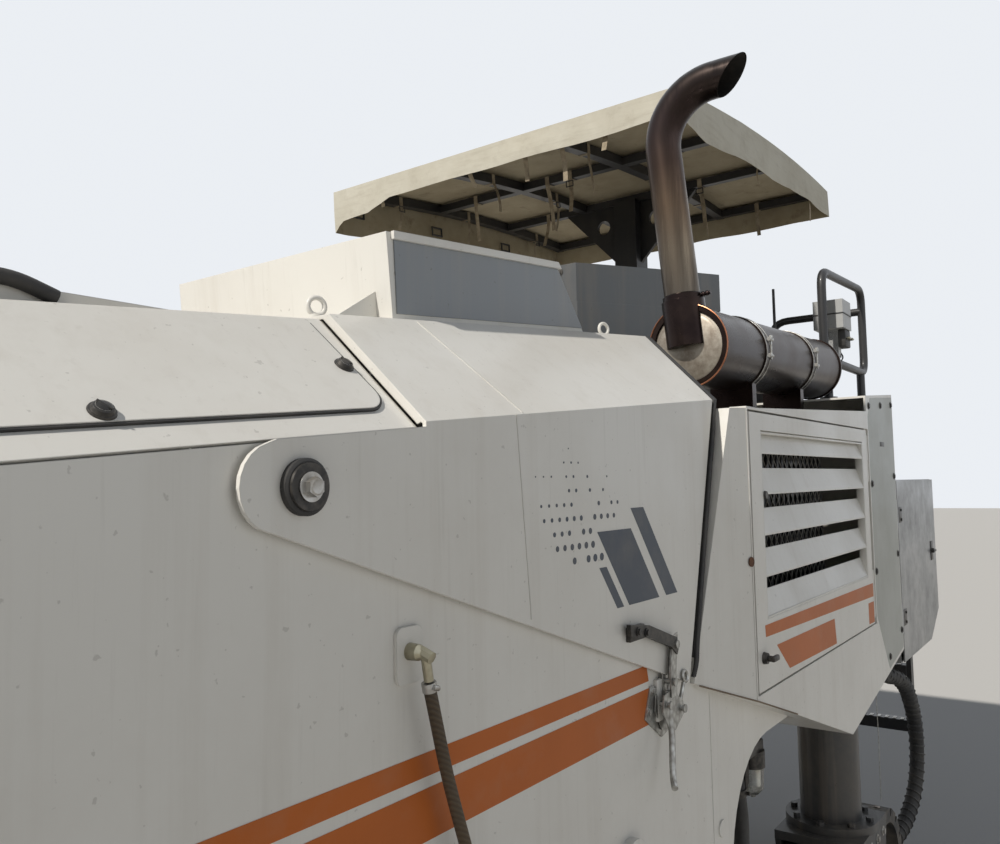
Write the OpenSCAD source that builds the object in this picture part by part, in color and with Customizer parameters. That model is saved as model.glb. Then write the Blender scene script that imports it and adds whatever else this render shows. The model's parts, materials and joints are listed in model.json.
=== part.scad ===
// Compact front-loading cold planer milling machine on four steered crawlers.
// +X forward, +Y to the machine's left, +Z up. The layout is drawn from the milling
// drum's axis at x = 0 and then moved so that the origin is under the middle of the machine.

/* [Overall] */
// Width over the radiator housing and the right-hand tank
overall_w = 2500; // [2440:10:2700]
// How far the radiator housing stands out over a side plate
side_over = 70; // [40:5:100]
// Drum axis to the front columns
front_axle_x = 1450; // [1400:10:1700]
// Drum axis back to the rear columns
rear_axle_x = 2150; // [2100:10:2400]
// Drum axis forward to the front plate
nose_x = 2080; // [2060:10:2300]
// Rise of the hood and the covers towards the rear, in degrees
rise_deg = 5.6; // [4:0.2:7]
// Height of the shoulder line over the drum axis
shoulder_z = 2199; // [2150:10:2260]
// How far the sloped shoulder runs inwards
chamfer_in = 225; // [180:5:260]
// How far the sloped shoulder climbs
chamfer_up = 203; // [160:5:230]
// Sheet of the outer covers
sheet = 8; // [5:1:10]

/* [Crawlers] */
// Length over one crawler
track_l = 1330; // [1250:10:1400]
// Height over one crawler
track_h = 570; // [540:10:620]
// Width of the track shoes
track_w = 260; // [220:10:280]
// Thickness of the belt that carries the shoes
track_belt = 26; // [20:1:34]
// Height of one shoe over the belt
shoe_h = 34; // [24:1:44]
// Number of shoes round one track
shoes = 30; // [24:2:34]
// Outside of a side plate in to the column's axis
column_in = 150; // [140:5:170]
// Outer diameter of a lifting column
column_d = 240; // [220:5:244]
// Bore of the steering guide over the column's diameter
column_gap = 0.6; // [0.4:0.1:1]
// Outer diameter of the column's guide tube
guide_d = 280; // [270:2:290]

/* [Milling drum] */
// Cutting diameter over the tool tips
drum_d = 980; // [940:10:1000]
// Diameter of the drum tube
drum_tube_d = 740; // [700:10:780]
// Milling width
drum_w = 1320; // [1200:10:1330]
// Height of the drum axis when parked
drum_z = 600; // [580:5:640]
// Tools on each of the two helices
tools_per_helix = 34; // [24:1:40]
// Wall of the drum housing
housing_wall = 12; // [10:1:16]

/* [Conveyors] */
// Centre line of both conveyors from the middle of the machine
conveyor_y = -250; // [-260:5:-220]
// Width of the belts
belt_w = 600; // [520:10:620]
// Slewing axis ahead of the drum axis
slew_x = 2560; // [2550:5:2620]
// Height of the luffing axis
luff_z = 1150; // [1130:5:1180]
// Length of the discharge boom ahead of the luffing axis
boom_l = 5400; // [5000:50:5600]
// Parked angle of the discharge boom
boom_deg = 14; // [12:0.5:16]
// Depth of the boom's side beams
beam_h = 180; // [160:5:200]
// Diameter of the belt drums
pulley_d = 150; // [130:5:160]

/* [Radiator housing] */
// Front edge of the louvred door behind the drum axis
door_front_x = -740; // [-760:5:-730]
// Length of the louvred door
door_l = 1380; // [1300:10:1400]
// Bottom of the louvred door
door_z = 1460; // [1450:5:1500]
// Height of the louvred door
door_h = 780; // [740:5:790]
// Number of louvre blades
blades = 5; // [4:1:6]

/* [Exhaust] */
// Diameter of the muffler
muffler_d = 270; // [240:5:280]
// Length of the muffler
muffler_l = 1400; // [1300:10:1440]
// Diameter of the exhaust pipe
pipe_d = 120; // [100:5:130]

/* [Canopy] */
// Length of the canopy
canopy_l = 2170; // [2000:10:2300]
// Width of the canopy
canopy_w = 1900; // [1800:10:1960]
// Depth of the hanging skirt
skirt_h = 135; // [100:5:180]
// Height of the canopy's frame at its front edge
canopy_z = 3540; // [3520:10:3600]
// Rise of the canopy towards the rear, in degrees
canopy_deg = 4.6; // [3:0.2:6]

/* [Hidden] */
$fn = 48;

// Colours as they look on the machine
white = "#e9e7e0";
grey = "#4b5052";
dark = "#2a2c2e";
steel = "#8d9093";
orange = "#c4692a";

wide_y = overall_w / 2;
side_y = wide_y - side_over;
column_y = side_y - column_in;
top_y = side_y - chamfer_in;
slope_deg = atan2(chamfer_up, chamfer_in);
slope_l = norm([chamfer_up, chamfer_in]);
rise = tan(rise_deg);
body_gap = 0.3;
through = 1;

// Fore and aft reach, which sets the origin
rear_x = -3680;
boom_nose = 30;
boom_tip_x = slew_x + (boom_l + boom_nose) * cos(boom_deg) + (beam_h / 3) * sin(boom_deg);
mid_x = (boom_tip_x + rear_x) / 2;

// Height of the shoulder line and of the flat top at a place along the machine
function shoulder_at(x) = shoulder_z - rise * x;
function top_at(x) = shoulder_at(x) + chamfer_up;

// Moves a layout drawing to the part's origin
module placed() translate([-mid_x, 0, 0]) children();

// Extrudes a drawing in x and z from y0 to y1
module side_slab(y0, y1)
    translate([0, y1, 0]) rotate([90, 0, 0]) linear_extrude(y1 - y0) children();

// Extrudes a drawing in y and z from x0 to x1
module front_slab(x0, x1)
    translate([x0, 0, 0]) rotate([90, 0, 90]) linear_extrude(x1 - x0) children();

// Cylinder along Y, centred on y
module cross_bar(x, y, z, d, l)
    translate([x, y, z]) rotate([90, 0, 0]) cylinder(h = l, d = d, center = true);

// Box from its low and high corners
module box(lo, hi) translate(lo) cube(hi - lo);

// A drawing and its mirror image across the middle of the machine
module both_sides() {
    children();
    mirror([0, 1, 0]) children();
}

// Round tube through a list of points, with a slightly larger ball at each bend
module tube_run(points, d)
    for (i = [0 : len(points) - 2]) {
        run = points[i + 1] - points[i];
        l = norm(run);
        translate(points[i]) rotate([0, acos(run[2] / l), atan2(run[1], run[0])])
            cylinder(h = l, d = d, $fn = 32);
        if (i > 0) translate(points[i]) sphere(d = d * 1.04, $fn = 32);
    }

// Shared hood and frame values
pivot_x = 830;
pivot_z = 2050;
pivot_d = 40;
hood_front_x = 576;
cover_rear_x = hood_front_x + 8;
hood_clear = 8.3;
seal_low = [-430, 1540];
seal_lean = 0.293;
seal_t = 18;
seal_clear = 12;
hood_side_y = side_y + hood_clear + sheet;
hood_up = 8;
function hood_low_at(x) = seal_low[1] + (x - seal_low[0]) * 0.344;
function seal_x_at(z) = seal_low[0] - (z - seal_low[1]) * seal_lean;

// Outline across the machine of a cover that follows the shoulders
module shell_outline(outer_y, skirt, wall) {
    w = wall * tan(slope_deg / 2);
    in = chamfer_in;
    up = chamfer_up;
    left = [[outer_y - in, up], [outer_y, 0], if (skirt > 0) [outer_y, -skirt],
        if (skirt > 0) [outer_y - wall, -skirt], [outer_y - wall, -w],
        [outer_y - in - w, up - wall]];
    polygon(concat(left, [for (i = [len(left) - 1 : -1 : 0]) [-left[i][0], left[i][1]]]));
}

// The same outline run along the rise between two places
module rising_shell(x0, x1, outer_y, skirt, wall)
    intersection() {
        translate([0, 0, shoulder_z]) rotate([0, rise_deg, 0])
            front_slab(x0 - 300, x1 + 300) shell_outline(outer_y, skirt, wall);
        box([x0, -wide_y, 0], [x1, wide_y, 3200]);
    }

/* Main frame: two side plates, front plate, engine floor, column guides and beams */
floor_z = drum_z + drum_d / 2 + 50;
floor_t = 12;
apron_z = 560;
column_top = 1900;
rear_column_top = 1630;
guide_low = 1130;
frame_low = 980;
cross_z = 1150;
cross_h = 300;
cross_half = 200;
rail_h = 260;
arch_r = 300;
lug_y = [-730, 700];
lug_t = 30;
lug_d = 50;
lug_out = 100;
front_lug_z = 1060;
rear_lug_z = cross_z + 25;
boss_l = 60;

// Top of the side plates, just under the covers' folded edge
edge_fold = sheet * tan(slope_deg / 2) + 0.4;
function side_top(x) = shoulder_at(x) - edge_fold;
module frame_side()
    polygon([[nose_x, frame_low], [nose_x, side_top(nose_x)],
        [cover_rear_x, side_top(cover_rear_x)],
        [cover_rear_x, hood_low_at(cover_rear_x) + 40],
        [seal_low[0] - 40, seal_low[1] + 40], [-1300, 1560], [-1300, 1290],
        for (a = [90 : -10 : 0]) [-980 + arch_r * cos(a), 990 + arch_r * sin(a)],
        [-680, apron_z], [700, apron_z], [760, frame_low]]);

module column_guide(x, y, top)
    translate([x, y, guide_low]) cylinder(h = top - guide_low, d = guide_d);

// Leaning bulkhead behind the engine, which carries the seal
module bulkhead()
    intersection() {
        translate([0, 0, shoulder_z]) rotate([0, rise_deg, 0])
            front_slab(-1100, 200)
                polygon([[side_y, -1100], [side_y, 0], [top_y, chamfer_up],
                    [-top_y, chamfer_up], [-side_y, 0], [-side_y, -1100]]);
        side_slab(-wide_y, wide_y)
            polygon([[seal_x_at(floor_z), floor_z], [seal_x_at(2700), 2700],
                [seal_x_at(2700) - sheet, 2700], [seal_x_at(floor_z) - sheet, floor_z]]);
    }

module main_frame() color(white) placed() {
    difference() {
        union() {
            side_slab(side_y - sheet, side_y) frame_side();
            side_slab(-side_y, -side_y + sheet)
                difference() {
                    frame_side();
                    translate([-720, 0]) square([1500, floor_z]);
                }
            // front plate, up to the underside of the cover
            front_slab(nose_x - sheet, nose_x) polygon([[side_y, frame_low],
                [side_y, side_top(nose_x)], [side_y - sheet - 0.5, side_top(nose_x)],
                [top_y - 4, top_at(nose_x) - sheet - 1], [4 - top_y, top_at(nose_x) - sheet - 1],
                [0.5 + sheet - side_y, side_top(nose_x)], [-side_y, side_top(nose_x)],
                [-side_y, frame_low]]);
            // engine floor
            box([-700, -side_y, floor_z], [700, side_y, floor_z + floor_t]);
            bulkhead();
            // front column boxes
            both_sides() box([front_axle_x - 190, 760, guide_low + 20],
                [front_axle_x + 190, side_y, guide_low + 420]);
            // rails from the engine floor to the rear cross box
            for (y = [720, -920])
                box([-rear_axle_x, y, cross_z], [-690, y + 200, cross_z + rail_h]);
            // rear cross box
            box([-rear_axle_x - cross_half, -side_y, cross_z],
                [-rear_axle_x + cross_half, side_y, cross_z + cross_h]);
            // guides of the lifting columns
            for (y = [-column_y, column_y]) {
                column_guide(front_axle_x, y, column_top);
                column_guide(-rear_axle_x, y, rear_column_top);
            }
            // nose console that carries the slewing ring
            box([nose_x - sheet, conveyor_y - 200, 690], [slew_x, conveyor_y + 200, 750]);
            translate([slew_x, conveyor_y, 690]) cylinder(h = 60, r = 200);
            box([nose_x - sheet, conveyor_y - 200, 640], [nose_x, conveyor_y + 200, 1000]);
            for (y = [-200, 180])
                side_slab(conveyor_y + y, conveyor_y + y + 20)
                    polygon([[nose_x - sheet, 640], [nose_x - sheet, 1000],
                        [nose_x + 20, 1000], [nose_x + 120, 750], [nose_x + 150, 690]]);
        }
        // mouth of the primary conveyor in the front plate
        box([nose_x - 50, conveyor_y - 380, 1140], [nose_x + 50, conveyor_y + 380, 1880]);
        // bores of the guides
        for (y = [-column_y, column_y]) {
            translate([front_axle_x, y, 900])
                cylinder(h = 1100, d = column_d + column_gap);
            translate([-rear_axle_x, y, 900])
                cylinder(h = 900, d = column_d + column_gap);
        }
        // pilot hole under the slewing ring
        translate([slew_x, conveyor_y, 600]) cylinder(h = 200, d = 90);
    }
    // bosses that carry the hood's pivots
    both_sides() translate([pivot_x, side_y - boss_l, pivot_z]) rotate([-90, 0, 0])
        cylinder(h = boss_l, d = 90);
    // pin cap of the drum drive
    translate([-90, side_y - 1, 1225]) rotate([-90, 0, 0]) cylinder(h = 20, d = 110);
    // lamp brackets on the front plate
    both_sides() box([nose_x - 1, 900, 1700], [nose_x + 60, 1000, 1770]);
}

/* Lashing lugs on base plates, at the front plate and the rear cross box */
module lug(y, z)
    difference() {
        union() {
            box([-1, y, z - 60], [lug_out - 40, y + lug_t, z + 60]);
            cross_bar(lug_out - 50, y + lug_t / 2, z, 100, lug_t);
            box([0, y - 25, z - 70], [16, y + lug_t + 25, z + 70]);
        }
        cross_bar(lug_out - 50, y, z, lug_d, 4 * lug_t);
        box([-2, y - 50, z - 80], [0, y + lug_t + 50, z + 80]);
    }
module lashing_lugs() color(white) placed()
    for (y = lug_y) {
        translate([nose_x, 0, 0]) lug(y, front_lug_z);
        translate([-rear_axle_x - cross_half, 0, 0]) mirror([1, 0, 0]) lug(y, rear_lug_z);
    }

/* Hood pivots: pin, thick rubber washer, steel washer and hexagon head */
rubber_d = 78;
rubber_t = 12;
washer_d = 66;
washer_t = 5;
head_af = 24;
head_t = 16;
module pivot_pin()
    translate([pivot_x, side_y + body_gap, pivot_z]) rotate([-90, 0, 0]) {
        cylinder(h = hood_clear + sheet + 1, d = pivot_d);
        translate([0, 0, hood_clear + sheet]) {
            cylinder(h = rubber_t, d = rubber_d);
            cylinder(h = rubber_t + washer_t, d = washer_d);
            cylinder(h = rubber_t + washer_t + head_t, d = head_af / cos(30), $fn = 6);
        }
    }
module hood_pivots() color(dark) placed() both_sides() pivot_pin();

/* Front covers */
module front_cover() color(white) placed()
    rising_shell(cover_rear_x, nose_x, side_y, 0, sheet);

// Drawing plane of the left sloped shoulder: x along the machine, y up the slope
module on_slope(lift)
    translate([0, 0, shoulder_z]) rotate([0, rise_deg, 0])
        translate([0, side_y, 0]) rotate([180 - slope_deg, 0, 0])
            mirror([0, 0, 1]) translate([0, 0, lift]) children();

module inspection_cover() color(white) placed()
    on_slope(body_gap) {
        linear_extrude(lid_t) {
            translate([lid_x + lid_r, lid_low])
                square([nose_x - 70 - lid_x - lid_r, slope_l - lid_low - 10]);
            translate([lid_x, lid_low + lid_r]) square([lid_r, slope_l - lid_low - 10 - lid_r]);
            translate([lid_x + lid_r, lid_low + lid_r]) circle(r = lid_r);
        }
        for (knob = lid_knobs)
            translate([knob[0], knob[1], 0]) cylinder(h = 14, d = 20, $fn = 24);
    }
lid_x = 606;
lid_r = 45;
lid_t = 5;
lid_low = 48;
lid_knobs = [[lid_x + 16, 158], [1077, 66], [1560, 66]];

/* Engine: one plain block at its real place */
module engine_block() color(dark) placed()
    box([-290, -650, floor_z + floor_t + body_gap], [450, 600, 2050]);

/* Tilting hood */
hood_rear_off = seal_t + seal_clear;
module hood_outline()
    polygon([[hood_front_x, 3000], [hood_front_x, hood_low_at(hood_front_x)],
        [seal_x_at(seal_low[1]) + hood_rear_off, hood_low_at(seal_low[0] + hood_rear_off)],
        [seal_x_at(3000) + hood_rear_off, 3000]]);

// Arm out to the pivot, rounded at its front end
arm_x = 872;
arm_r = 60;
arm_back = 60;
module hood_arm()
    polygon([[hood_front_x - arm_back, shoulder_at(hood_front_x - arm_back)],
        [arm_x, shoulder_at(arm_x)],
        for (a = [75 : -15 : -60]) [arm_x + arm_r * cos(a), pivot_z + arm_r * sin(a)],
        [arm_x + 20, hood_low_at(arm_x + 20)],
        [hood_front_x - arm_back, hood_low_at(hood_front_x - arm_back)]]);

module hood_shell() color(white) placed()
    difference() {
        union() {
            translate([0, 0, hood_up]) intersection() {
                rising_shell(-900, hood_front_x, hood_side_y, 1000, sheet);
                translate([0, 0, -hood_up]) side_slab(-wide_y, wide_y) hood_outline();
            }
            // folded front edge on the slopes, down to the front cover's surface
            translate([0, 0, hood_up])
                rising_shell(hood_front_x - sheet, hood_front_x, side_y + 5, 0, sheet);
            // arms out to the pivots
            both_sides() side_slab(hood_side_y - sheet, hood_side_y) hood_arm();
        }
        both_sides()
            cross_bar(pivot_x, hood_side_y, pivot_z, pivot_d + 0.6, 4 * sheet);
    }

// Box of the air intake on the hood, open below onto the hood
intake_x = [-350, 390];
intake_y = [260, top_y];
intake_h = 175;
module intake_box() color(white) placed()
    translate([0, 0, hood_up + body_gap]) intersection() {
        translate([0, 0, shoulder_z + chamfer_up / cos(rise_deg)]) rotate([0, rise_deg, 0])
            side_slab(intake_y[0], intake_y[1] - 5)
                polygon([[intake_x[0], 0], [intake_x[1], 0], [intake_x[1], intake_h],
                    [intake_x[0] + 120, intake_h]]);
        box([-2000, -wide_y, 0], [2000, wide_y, 3200]);
    }

/* Toggle latch at the hood's lower rear corner, on the frame side */
latch_x = -330;
module latch_side() {
    box([latch_x - 30, side_y, 1350], [latch_x + 30, side_y + 10, 1520]);
    cross_bar(latch_x, side_y + 20, 1480, 30, 40);
    box([latch_x - 12, side_y + 10, 1300], [latch_x + 12, side_y + 26, 1470]);
}
module hood_latch() color(steel) placed() both_sides() latch_side();

/* Rubber seal on the bulkhead's edge */
module hood_seal() color(dark) placed()
    intersection() {
        translate([0, 0, hood_up]) rising_shell(-900, -300, hood_side_y, 640, 30);
        side_slab(-wide_y, wide_y)
            polygon([[seal_x_at(1545) + body_gap, 1545],
                [seal_x_at(1545) + seal_t, 1545],
                [seal_x_at(2700) + seal_t, 2700],
                [seal_x_at(2700) + body_gap, 2700]]);
    }

/* Radiator housing on the left behind the hood, open inside behind its door */
box_rear_x = -2630;
hump_x = -2125;
box_in_y = wide_y - 490;
housing_t = 8;
function roof_at(x) = 2245 + (x - seal_x_at(2245)) * (2245 - 2320) / (seal_x_at(2245) - hump_x);
module housing_outline()
    polygon([seal_low - [sheet + body_gap, 0], [seal_x_at(2245) - sheet - body_gap, 2245],
        [hump_x, 2320], [hump_x, 2385], [box_rear_x, 2425],
        [box_rear_x, 1270], [-1690, 1120], [-740, 1440]]);

module housing_plan(in)
    polygon([[-300, box_in_y + in], [box_rear_x - 10 + in, box_in_y + in],
        [box_rear_x - 10 + in, wide_y - in], [door_front_x, wide_y - in],
        [-400, side_y + 4 - in], [-300, side_y + 4 - in]]);

// Door opening, with a jamb behind the door's edges
door_gap = 6;
hinge_r = 11;
hinge_x = door_front_x - door_l;
hinge_y = wide_y - hinge_r;
open_x = [hinge_x - 18, door_front_x + door_gap];
open_z = [door_z - door_gap, door_z + door_h + door_gap];
door_t = 30;
knuckle_l = 110;
knuckles = [door_z + 60, door_z + door_h - 60 - knuckle_l];
module radiator_housing() color(white) placed() {
    difference() {
        union() {
            difference() {
                intersection() {
                    side_slab(0, wide_y + 10) housing_outline();
                    linear_extrude(3000) housing_plan(0);
                }
                intersection() {
                    side_slab(0, wide_y + 10)
                        polygon([seal_low + [-40, 20], [seal_x_at(2230) - 20, 2232],
                            [hump_x, 2310], [hump_x, 2376], [box_rear_x + housing_t, 2415],
                            [box_rear_x + housing_t, 1290], [-1960, 1172], [-1960, 1465],
                            [-1300, 1465], [-740, 1465]]);
                    linear_extrude(3000) housing_plan(housing_t);
                }
                // room for the cross box of the frame
                box([-rear_axle_x - cross_half - body_gap, 0, 1000],
                    [-rear_axle_x + cross_half + body_gap, side_y + body_gap,
                        cross_z + cross_h + body_gap]);
                // side rail of the frame
                box([-rear_axle_x, 700, 1000],
                    [-600, 920 + body_gap, cross_z + rail_h + body_gap]);
                // frame side plate that runs in behind the housing
                box([-1300 - body_gap, 700, 1000], [-300, side_y + body_gap, 1592]);
            }
            // jamb round the door opening
            box([open_x[0] - housing_t, wide_y - 50, open_z[0] - housing_t],
                [open_x[1] + housing_t, wide_y - 1, open_z[1] + housing_t]);
        }
        // room for the column's guide
        translate([-rear_axle_x, column_y, 1000])
            cylinder(h = rear_column_top + body_gap - 1000, d = guide_d + 2 * body_gap);
        box([open_x[0], wide_y - door_t - door_gap, open_z[0]], [open_x[1], wide_y + 1, open_z[1]]);
        box([open_x[0] + 30, wide_y - 60, open_z[0] + 24], [open_x[1] - 24, wide_y + 1,
            open_z[1] - 24]);
        // seat of the bolted rear panel
        side_slab(wide_y - panel_t - body_gap, wide_y + 1) rear_panel_outline();
    }
    // hinge pin and its fixed knuckles
    translate([hinge_x, hinge_y, open_z[0]]) cylinder(h = open_z[1] - open_z[0], d = 9);
    for (z = knuckles) {
        translate([hinge_x, hinge_y, z - 40]) cylinder(h = 40 - body_gap, r = hinge_r);
        translate([hinge_x, hinge_y, z + knuckle_l + body_gap])
            cylinder(h = 40 - body_gap, r = hinge_r);
        for (low = [z - 40, z + knuckle_l + body_gap])
            box([open_x[0] - 1, hinge_y - 5, low], [hinge_x, hinge_y + 5, low + 39]);
    }
}

module radiator_core() color(dark) placed()
    difference() {
        box([-1900, 960, 1465 + body_gap], [-800, 1120, 2200]);
        for (i = [0 : 20])
            box([-1880 + i * 51.5, 1100, 1520], [-1880 + i * 51.5 + 30, 1121, 2180]);
    }

/* Louvred door, hinged at its rear edge */
blade_pitch = 118;
module radiator_door() color(white) placed() {
    difference() {
        box([hinge_x + hinge_r + door_gap, wide_y - door_t, door_z],
            [door_front_x, wide_y, door_z + door_h]);
        box([hinge_x + 90, wide_y - door_t - 1, door_z + 190],
            [door_front_x - 90, wide_y + 1, door_z + door_h - 50]);
    }
    for (i = [0 : blades - 1])
        translate([0, wide_y - 5, door_z + 190 + i * blade_pitch])
            side_louvre();
    // knuckles on the hinge pin
    for (z = knuckles) difference() {
        union() {
            translate([hinge_x, hinge_y, z]) cylinder(h = knuckle_l, r = hinge_r);
            box([hinge_x, hinge_y - 5, z], [hinge_x + hinge_r + door_gap + 1, hinge_y + 5,
                z + knuckle_l]);
        }
        translate([hinge_x, hinge_y, z - 1]) cylinder(h = knuckle_l + 2, d = 9.6);
    }
}
module side_louvre()
    translate([door_front_x - door_l + 85, 0, 0])
        front_slab(0, door_l - 170)
            polygon([[4, 0], [4, 6], [-22, 78], [-25, 72], [-3, 0]]);

/* Aluminium panel bolted on behind the door */
panel_t = 3;
module rear_panel_outline()
    polygon([[open_x[0] - 12, 2300], [open_x[0] - 12, 1480], [-2330, 1236], [box_rear_x + 6, 1282],
        [box_rear_x + 6, 2412], [-2200, 2380]]);
module rear_panel() color(steel) placed()
    side_slab(wide_y - panel_t, wide_y) rear_panel_outline();

/* Tool box behind the radiator housing */
tool_front_x = box_rear_x - 14;
tool_rear_x = -3600;
tool_y = [wide_y - 430, wide_y - 18];
tool_top = 2030;
tool_low = 1200;
tool_hinge = [tool_front_x - 12, wide_y - 10];
tool_knuckles = [1360, 1830];
tool_door_y = [tool_hinge[1] - 2, tool_hinge[1] + 4];
module tool_outline(in)
    polygon([[tool_front_x - in, tool_top - in], [tool_rear_x + in, tool_top - in],
        [tool_rear_x + in, tool_low + 130 + in], [tool_rear_x + 250, tool_low + in],
        [tool_front_x - in, tool_low + in]]);
module tool_box() color(steel) placed() {
    difference() {
        side_slab(tool_y[0], tool_y[1]) tool_outline(0);
        side_slab(tool_y[0] + 6, wide_y) tool_outline(6);
    }
    // hinge pins on brackets
    for (z = tool_knuckles) {
        translate([tool_hinge[0], tool_hinge[1], z - 30]) cylinder(h = 140, d = 8);
        for (low = [z - 30, z + 80 + body_gap]) {
            translate([tool_hinge[0], tool_hinge[1], low]) cylinder(h = 29.7, r = 10);
            box([tool_hinge[0] - 8, tool_y[1] - 1, low], [tool_hinge[0] + 8, tool_hinge[1],
                low + 29.7]);
        }
    }
}
module tool_box_door() color(steel) placed() {
    intersection() {
        side_slab(tool_door_y[0], tool_door_y[1]) tool_outline(2);
        box([-4000, 0, 0], [tool_hinge[0] - 16, 3000, 3000]);
    }
    for (z = tool_knuckles) difference() {
        union() {
            translate([tool_hinge[0], tool_hinge[1], z]) cylinder(h = 80, r = 10);
            box([tool_hinge[0] - 17, tool_door_y[0], z], [tool_hinge[0], tool_door_y[1], z + 80]);
        }
        translate([tool_hinge[0], tool_hinge[1], z - 1]) cylinder(h = 82, d = 8.6);
    }
}

/* Muffler lying on the radiator housing, and the stack */
muffler_x = -1040;
muffler_y = wide_y - 305;
muffler_z = 2495;
muffler_deg = 2.4;
rim_t = 12;
strap_w = 40;
module along_muffler() translate([muffler_x, muffler_y, muffler_z])
    rotate([0, muffler_deg, 0]) rotate([0, -90, 0]) children();
module muffler() color(grey) placed() {
    difference() {
        union() {
            along_muffler() {
                cylinder(h = muffler_l, d = muffler_d);
                for (h = [0, muffler_l - rim_t])
                    translate([0, 0, h]) cylinder(h = rim_t, d = muffler_d + 12);
                for (h = [380, 960])
                    translate([0, 0, h]) cylinder(h = strap_w, d = muffler_d + 8);
            }
            // saddles on the housing's roof
            for (h = [400, 980])
                translate([muffler_x - h - 20, muffler_y - 80, 2200])
                    cube([40, 160, 240]);
            // neck that takes the stack
            on_stack() cylinder(h = neck_l, d = pipe_d + 24);
        }
        along_muffler() translate([0, 0, -through]) cylinder(h = 9, d = muffler_d - 30);
        // seat on the sloped roof
        side_slab(0, wide_y) polygon([[0, 0], [0, roof_at(0) + body_gap],
            [-2900, roof_at(-2900) + body_gap], [-2900, 0]]);
        on_stack() translate([0, 0, neck_l - 38]) cylinder(h = 60, d = pipe_d + 0.6);
    }
}
// The stack stands square on the muffler, leans in and turns out over the side
stack_x = -1070;
stack_y = muffler_y - 8;
stack_in = 4.7;
neck_l = 158;
stack_l = 519;
stack_turn = 96;
stack_r = 184;
stack_out = 120;
stack_bends = 6;
slash_deg = 38;
pipe_wall = 4;
module on_stack() translate([stack_x, stack_y, muffler_z])
    rotate([0, muffler_deg, 0]) rotate([stack_in, 0, 0]) children();
// The stack's run, drawn past both ends for the bore
function stack_end(past) = [0, stack_r * (1 - cos(stack_turn)) + (stack_out + past) * sin(stack_turn),
    stack_l + stack_r * sin(stack_turn) + (stack_out + past) * cos(stack_turn)];
function stack_run(past) =
    let (step = stack_turn / stack_bends, far = stack_r / cos(step / 2))
    concat([[0, 0, -36 - past]],
        [for (i = [0 : stack_bends - 1]) let (a = step * (i + 0.5))
            [0, stack_r - far * cos(a), stack_l + far * sin(a)]],
        [stack_end(past)]);
module exhaust_pipe() color(grey) placed()
    on_stack() translate([0, 0, neck_l + body_gap]) difference() {
        union() {
            tube_run(stack_run(0), pipe_d);
            // clamp on the neck
            cylinder(h = 16, d = pipe_d + 36);
        }
        tube_run(stack_run(1), pipe_d - 2 * pipe_wall);
        // slanting end, longer above
        translate(stack_end(-55)) rotate([-stack_turn + slash_deg, 0, 0])
            cylinder(h = 300, d = 400);
    }

/* Tank and body on the machine's right, beside the platform */
tank_front = [seal_x_at(2245) - sheet - body_gap, 2245];
tank_rear = [-3000, 2400];
// Height of the tank's top, measured over the width of a rail's foot
function tank_top(x) = tank_front[1] + (tank_rear[1] - tank_front[1])
    * (x - 40 - tank_front[0]) / (tank_rear[0] - tank_front[0]);
module right_tank() color(white) placed()
    difference() {
        side_slab(-wide_y, -800)
            polygon([[seal_x_at(1592) - 40, 1592], tank_front, tank_rear, [-3000, 1250],
                [-1690, 1160], [-900, 1440], [-640, 1460]]);
        box([-rear_axle_x - cross_half - body_gap, -side_y - body_gap, 1000],
            [-rear_axle_x + cross_half + body_gap, -700, cross_z + cross_h + body_gap]);
        translate([-rear_axle_x, -column_y, 1000])
            cylinder(h = rear_column_top + body_gap - 1000, d = guide_d + 2 * body_gap);
        box([-rear_axle_x, -920 - body_gap, 1000], [-600, -700, cross_z + rail_h + body_gap]);
        box([-1300 - body_gap, -side_y - body_gap, 1000], [-300, -700, 1580 + body_gap]);
    }

/* Operator's platform */
deck_z = 1600;
deck_t = 60;
deck_front_x = -1300;
deck_rear_x = -3600;
module platform() color(grey) placed() {
    box([deck_rear_x, -790, deck_z - deck_t], [deck_front_x, 750, deck_z]);
    box([deck_rear_x, 740, deck_z - deck_t], [tool_front_x, 820 - body_gap, deck_z]);
    // bearers on the rear cross box
    for (y = [-640, 560])
        box([-rear_axle_x - cross_half, y, cross_z + cross_h + body_gap],
            [-rear_axle_x + cross_half, y + 80, deck_z - deck_t + 1]);
    // cowl over the coolers between the bulkhead and the console
    side_slab(-790, 750)
        polygon([[deck_front_x - 1, deck_z - deck_t], [deck_front_x - 1, 2300],
            [seal_x_at(2245) - sheet - body_gap, 2245],
            [seal_x_at(deck_z - deck_t) - sheet - body_gap, deck_z - deck_t]]);
    // toe board at the rear
    box([deck_rear_x, -790, deck_z - 1], [deck_rear_x + 12, 400, deck_z + 120]);
}

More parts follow.
